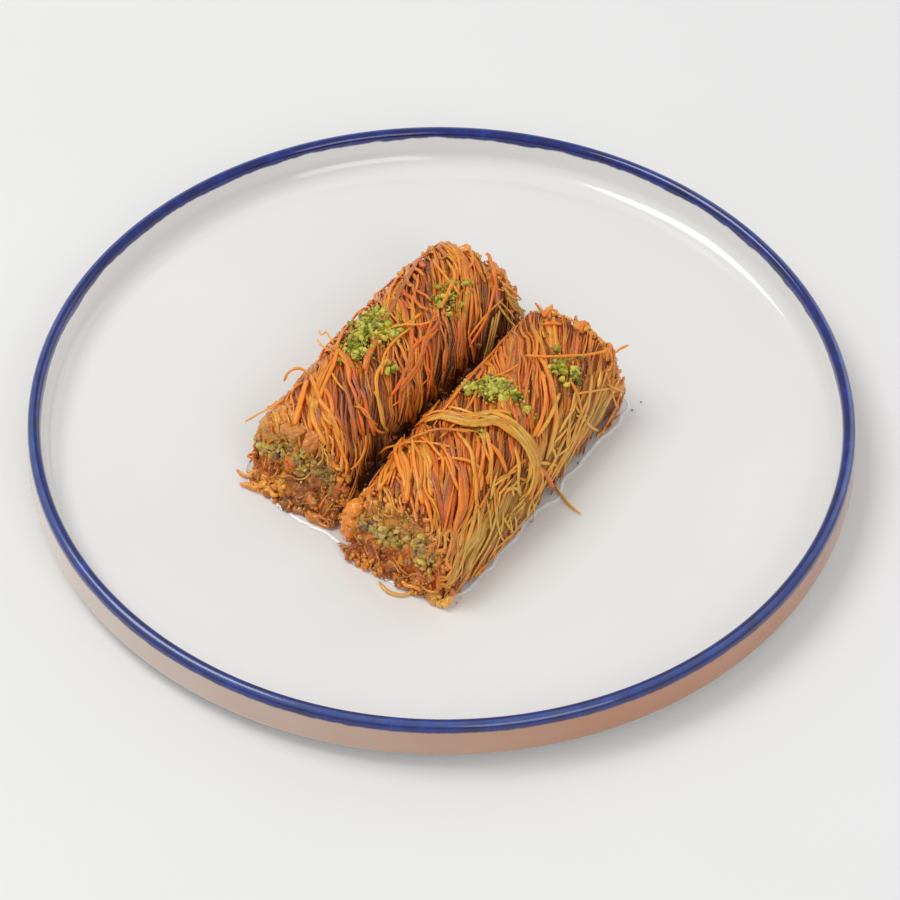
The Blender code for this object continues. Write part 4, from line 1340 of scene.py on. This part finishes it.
# Range across the roll, count, sizes, tone, pale and soaked
FOOT_STRANDS = {
    LEFT: (((-15.0, -5.0), 4, (0.5, 0.9), 1.0, 0.1, 0.3), ((6.0, 14.0), 2, (0.5, 0.8), 0.6, 0.0, 0.6)),
    RIGHT: (((-8.0, 11.0), 4, (0.4, 0.7), 0.8, 0.2, 0.35),),
}
FOOT_GEL = {
    LEFT: (((-15.0, -3.0), 22, (0.6, 1.5), 1.0, 0.1, 0.25), ((-4.0, 14.0), 26, (0.6, 1.6), 0.55, 0.0, 0.6)),
    RIGHT: (((-14.0, 13.0), 46, (0.5, 1.4), 0.75, 0.2, 0.35), ((12.0, 16.0), 8, (0.5, 1.0), 1.0, 0.7, 0.1)),
}
# Ranges of s and share, lift, count, sizes, tone, pale and soaked
PATCHES = {
    LEFT: (
        ((-37.0, 35.0), (0.22, 0.31), 0.7, 46, (0.5, 1.6), 0.8, 0.2, 0.25),
        ((-38.0, -30.5), (0.2, 0.38), 0.4, 80, (0.4, 1.2), 0.72, 0.5, 0.1),
        ((-37.6, -34.5), (0.24, 0.62), 0.3, 90, (0.25, 0.7), 0.75, 0.45, 0.1),
        ((-38.0, 36.0), (0.01, 0.1), -0.2, 110, (0.4, 1.1), 0.55, 0.15, 0.4),
        ((22.0, 27.5), (0.26, 0.31), 1.3, 8, (0.6, 1.3), 0.9, 0.75, 0.2),
        ((33.0, 37.0), (0.25, 0.33), 1.2, 8, (0.6, 1.3), 0.9, 0.7, 0.2),
        ((-36.0, 27.0), (0.8, 0.97), 0.0, 90, (0.4, 1.3), 0.5, 0.0, 0.8),
        ((30.0, 36.0), (0.6, 0.7), 0.6, 14, (0.4, 0.9), 0.6, 0.0, 0.2),
    ),
    RIGHT: (((-37.5, -31.0), (0.14, 0.34), 0.4, 40, (0.5, 1.3), 0.75, 0.3, 0.3),),
}
# s, share, lift, radius, tone and pale
FOLDS = {
    LEFT: (
        (-34.5, 0.25, -1.9, 2.5, 0.75, 0.4), (-33.5, 0.32, -2.4, 2.9, 0.7, 0.5),
        (-35.0, 0.38, -2.2, 2.6, 0.65, 0.5), (-36.0, 0.31, -2.6, 3.0, 0.6, 0.6),
        (-31.0, 0.27, -1.6, 2.2, 0.9, 0.1), (-36.2, 0.45, -2.8, 2.8, 0.55, 0.5),
        (-36.2, 0.55, -2.8, 2.8, 0.6, 0.35), (36.0, 0.35, -0.9, 1.8, 0.85, 0.3),
        (35.8, 0.47, -1.0, 1.9, 0.8, 0.2), (35.6, 0.62, -1.0, 1.9, 0.7, 0.1),
        (35.5, 0.75, -1.0, 1.8, 0.75, 0.3), (-30.0, 0.27, -0.6, 2.0, 0.95, 0.05),
        (-28.0, 0.28, -0.8, 1.6, 0.9, 0.05),
    ),
    RIGHT: (
        (-36.0, 0.225, -0.6, 2.9, 0.95, 0.05), (-37.0, 0.16, -0.8, 2.8, 0.9, 0.05),
        (-36.6, 0.1, -1.2, 2.5, 0.75, 0.1), (-33.6, 0.25, -0.7, 2.0, 0.95, 0.1),
        (36.5, 0.4, -1.0, 1.9, 0.8, 0.2), (36.5, 0.55, -1.0, 2.0, 0.75, 0.1),
        (36.2, 0.7, -1.0, 1.9, 0.8, 0.3), (35.8, 0.85, -1.0, 2.0, 0.7, 0.5),
    ),
}
# Roll, s, distance across its top, spread both ways, count and height of the pile
HEAPS = (
    (LEFT, -2.0, -3.6, (5.6, 5.6), 110, 1.2),
    (LEFT, -6.5, -5.0, (6.0, 4.2), 80, 0.7),
    (LEFT, 2.5, -6.8, (3.5, 3.6), 36, 0.6),
    (LEFT, -12.0, -2.5, (4.2, 4.5), 34, 0.1),
    (LEFT, -1.5, 2.4, (3.4, 2.6), 22, 0.3),
    (LEFT, 18.0, 5.2, (6.5, 4.4), 34, 0.3),
    (LEFT, 25.0, 5.8, (3.0, 2.6), 10, 0.1),
    (LEFT, -9.7, 8.0, (3.0, 2.0), 8, 0.1),
    (RIGHT, 4.6, -0.5, (3.9, 6.0), 165, 2.2),
    (RIGHT, 2.4, -6.5, (3.0, 4.5), 34, 0.3),
    (RIGHT, 21.7, 7.2, (4.5, 3.6), 32, 0.3),
    (RIGHT, 22.6, 11.2, (3.5, 2.5), 16, 0.1),
    (RIGHT, -6.7, 3.1, (2.5, 2.0), 6, 0.1),
    (RIGHT, -10.4, 3.7, (2.5, 2.0), 6, 0.1),
)
SPECKS_ON_PLATE = ((34.7, -12.5), (16.2, -38.7), (49.0, 6.3), (51.4, 9.2), (30.5, -24.6))


def make_soaked_foot(roll, finish):
    """The glassy, soaked foot of the front face: strands in one piece and lumps in another."""
    draw = np.random.default_rng(roll.seed + 51)
    strands = Strands(7)
    for row in FOOT_STRANDS[roll]:
        add_foot_strands(strands, roll, draw, *row)
    lumps = Chunks(roll.seed + 71, 3, 0.8)
    for row in FOOT_GEL[roll]:
        add_foot_gel(lumps, roll, *row)
    add_piece(strands.mesh(roll.name + "_soaked_strands"), finish)
    add_piece(lumps.mesh(roll.name + "_soaked_lumps"), finish)


def make_torn_ends(roll, finish):
    """The torn ends of strands at both cut faces, and those that lie in the syrup."""
    draw = np.random.default_rng(roll.seed + 50)
    torn = Strands(5)
    add_shreds(torn, roll, draw, -1, 36)
    add_shreds(torn, roll, draw, 1, 36)
    add_droops(torn, roll, draw, -1, 24)
    add_droops(torn, roll, draw, 1, 12)
    add_skirt(torn, roll, draw, 36)
    add_piece(torn.mesh(roll.name + "_torn_ends"), finish)


def make_torn_pastry(roll, finish):
    """Matted pastry, each size in a piece of its own: lumps, the larger folds at the corners, and crumbs."""
    lumps = Chunks(roll.seed + 70, 2)
    add_face_lumps(lumps, roll, -1, 70, (0.7, 1.5))
    add_face_lumps(lumps, roll, 1, 90, (0.7, 1.6))
    add_rim_lumps(lumps, roll, -1, 60)
    add_rim_lumps(lumps, roll, 1, 130)
    for row in PATCHES[roll]:
        add_patch(lumps, roll, *row)
    add_piece(lumps.mesh(roll.name + "_torn_lumps"), finish)
    folds = Chunks(roll.seed + 90, 4, 0.9)
    for s, share, lift, radius, tone, pale in FOLDS[roll]:
        folds.add(roll.on(s, share, lift), radius, tone, pale, 0.1)
    add_piece(folds.mesh(roll.name + "_folds"), finish)
    crumbs = Chunks(roll.seed + 80, 1)
    if roll is RIGHT:
        add_corner_crumbs(crumbs, 90, (1.6, -56.6))
    add_face_lumps(crumbs, roll, -1, 480, (0.2, 0.5))
    add_face_lumps(crumbs, roll, 1, 400, (0.2, 0.6))
    add_piece(crumbs.mesh(roll.name + "_torn_crumbs"), finish)


def add_corner_crumbs(crumbs, count, middle):
    """A small loose pile of pastry crumbs on the plate."""
    draw = crumbs.draw
    for _ in range(count):
        x, y = draw.normal(middle[0], 1.7), draw.normal(middle[1], 1.4)
        pile = math.exp(-abs(x - middle[0]) - abs(y - middle[1]) / 2)
        z = FLOOR_HEIGHT + 0.4 + draw.uniform(0, 2.2) * pile
        crumbs.add((x, y, z), draw.uniform(0.25, 0.6), 0.95, draw.uniform(0.5, 1.0), 0.1, 0.8)


def make_roll(roll, finishes):
    add_piece(core_mesh(roll), finishes["packed"], roll.name + "_pastry")
    make_strands(roll, finishes)
    make_soaked_foot(roll, finishes["soaked"])
    make_torn_ends(roll, finishes["torn"])
    make_torn_pastry(roll, finishes["torn"])
    add_piece(filling_mesh(roll), finishes["moist nuts"], roll.name + "_filling")
    pieces = Chunks(roll.seed + 60)
    add_end_nuts(pieces, roll, -1, 210)
    add_end_nuts(pieces, roll, 1, 160)
    add_side_nuts(pieces, roll, 130)
    add_piece(pieces.mesh(roll.name + "_nut_pieces"), finishes["moist nuts"])


def make_crumbs(finish):
    """Ground pistachio on both rolls: coarse grains in one piece, fine ones and specks in another."""
    coarse, fine = Chunks(77, 2, 1.3), Chunks(78, 1, 1.3)
    for roll, s, across, spread, count, pile in HEAPS:
        wider = (spread[0] * 1.05, spread[1] * 1.05)
        add_heap(coarse, roll, s, across, spread, count, pile, (0.32, 0.95))
        add_heap(fine, roll, s, across, wider, 4 * count, pile * 0.8, (0.16, 0.42))
    for x, y in SPECKS_ON_PLATE:
        fine.add((x, y, FLOOR_HEIGHT + 0.3), 0.26, 0.2, 0.7)
    add_piece(coarse.mesh("pistachio_crumbs"), finish)
    add_piece(fine.mesh("pistachio_dust"), finish)


# The rounded edge of the pool from its shore inwards: inset, height and edge trait
SYRUP_EDGE = (
    (0, 0.02, 1), (0.2, 0.16, 1), (0.45, 0.3, 0.8), (0.8, 0.38, 0.5), (1.3, 0.4, 0.3), (2.0, 0.37, 0),
)
# The rest of it: share of the way out from its middle and height, over the top and back below
SYRUP_INSIDE = ((0.8, 0.34), (0.5, 0.34), (0.5, 0.01))


def make_syrup(finish):
    """A thin clear pool round the rolls' feet, with a rounded edge."""
    shore = np.array(SYRUP_SHORE, float)
    closed = np.concatenate([shore, shore[:1]])
    lengths = np.concatenate([[0], np.cumsum(np.linalg.norm(np.diff(closed, axis=0), axis=1))])
    steps = 260
    t = np.arange(steps) / steps * lengths[-1]
    line = np.stack([np.interp(t, lengths, closed[:, k]) for k in (0, 1)], -1)
    for _ in range(5):
        line = (np.roll(line, 1, 0) + line + np.roll(line, -1, 0)) / 3
    along = np.roll(line, -1, 0) - np.roll(line, 1, 0)
    outward = normalised(np.stack([along[:, 1], -along[:, 0]], -1))
    line = line + (0.35 * waves(line, 9.0, 5) + 0.16 * waves(line, 4.0, 6))[:, None] * outward
    middle = line.mean(0)
    rings = [(line - inset * outward, height, edge) for inset, height, edge in SYRUP_EDGE]
    rings += [(middle + (line - middle) * share, height, 0) for share, height in SYRUP_INSIDE]
    rings.append((line, 0.01, 0))
    points = [np.column_stack([ring, np.full(steps, FLOOR_HEIGHT + height)]) for ring, height, _ in rings]
    faces = closed_grid(len(rings), steps)
    last = (len(rings) - 1) * steps
    for j in range(steps):
        k = (j + 1) % steps
        faces.append([last + j, last + k, k, j])
    traits = np.repeat([float(edge) for _, _, edge in rings], steps)[:, None] * np.ones(4)
    add_piece(build_mesh("syrup_pool", np.concatenate(points), faces, traits), finish)


def make_stage():
    """The table that the plate stands on."""
    mesh = bpy.data.meshes.new("table")
    side = 3.0
    corners = [(-side, -side, 0), (side, -side, 0), (side, side, 0), (-side, side, 0)]
    mesh.from_pydata(corners, [], [(0, 1, 2, 3)])
    table = bpy.data.objects.new("table", mesh)
    bpy.context.scene.collection.objects.link(table)
    mesh.materials.append(floor_finish())


# Square area lights, aimed at the plate: name, place and side in m, power in W and colour
LIGHTS = (
    ("key_light", (-0.8, 0.22, 1.4), 0.85, 12.1, (1.0, 0.985, 0.96)),
    ("front_light", (0.5, -1.1, 0.9), 0.8, 4.6, (1.0, 1.0, 1.0)),
    ("back_light", (1.0, 0.9, 0.6), 0.9, 1.8, (1.0, 0.99, 0.97)),
)
SKY_COLOUR = (0.97, 0.985, 1.0, 1.0)
SKY_STRENGTH = 0.54


def make_lights():
    for name, place, side, power, colour in LIGHTS:
        light = bpy.data.lights.new(name, "AREA")
        light.shape = "RECTANGLE"
        light.size = light.size_y = side
        light.energy = power
        light.color = colour
        obj = bpy.data.objects.new(name, light)
        obj.location = place
        obj.rotation_euler = (-Vector(place)).to_track_quat("-Z", "Y").to_euler()
        bpy.context.scene.collection.objects.link(obj)
    world = bpy.data.worlds.new("studio")
    bpy.context.scene.world = world
    world.use_nodes = True
    background = world.node_tree.nodes["Background"]
    background.inputs["Color"].default_value = SKY_COLOUR
    background.inputs["Strength"].default_value = SKY_STRENGTH


def make_camera():
    pitch, roll = math.radians(CAMERA_PITCH), math.radians(CAMERA_ROLL)
    ahead = Vector((0, math.cos(pitch), -math.sin(pitch)))
    right = Vector((1, 0, 0))
    up = right.cross(ahead)
    tilted_right = math.cos(roll) * right + math.sin(roll) * up
    tilted_up = math.cos(roll) * up - math.sin(roll) * right
    data = bpy.data.cameras.new("camera")
    data.sensor_width = 36.0
    data.lens = CAMERA_LENS
    data.clip_start, data.clip_end = 0.01, 10.0
    camera = bpy.data.objects.new("camera", data)
    pose = Matrix((tilted_right, tilted_up, -ahead)).transposed().to_4x4()
    pose.translation = (Vector(CAMERA_TARGET) - ahead * CAMERA_DISTANCE) * MM
    camera.matrix_world = pose
    bpy.context.scene.collection.objects.link(camera)
    bpy.context.scene.camera = camera
    bpy.context.scene.view_settings.view_transform = "Standard"


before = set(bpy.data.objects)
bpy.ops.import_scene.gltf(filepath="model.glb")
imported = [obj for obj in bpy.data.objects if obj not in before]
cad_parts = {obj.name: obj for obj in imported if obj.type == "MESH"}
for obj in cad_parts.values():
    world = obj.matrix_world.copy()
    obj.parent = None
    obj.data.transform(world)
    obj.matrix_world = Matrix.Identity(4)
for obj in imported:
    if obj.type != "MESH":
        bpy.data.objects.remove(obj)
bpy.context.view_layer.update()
make_camera()
make_lights()
make_stage()
make_plate()
finishes = {
    "packed": pastry_finish("pastry_packed", wet=0.35, relief=0.4, grain=0.2),
    "crisp": pastry_finish("pastry_crisp", wet=0.55, relief=0.16, grain=0.07),
    "torn": pastry_finish("pastry_torn", wet=0.9, relief=0.28, grain=0.26),
    "moist nuts": nut_finish("nuts_moist", MOIST_NUT, coat=0.5),
    "ground nuts": nut_finish("nuts_ground", FRESH_NUT, coat=0.1),
    "soaked": pastry_finish("pastry_soaked", wet=1.0, relief=0.05, grain=0.05),
}
make_roll(LEFT, finishes)
make_roll(RIGHT, finishes)
make_crumbs(finishes["ground nuts"])
make_syrup(syrup_finish())
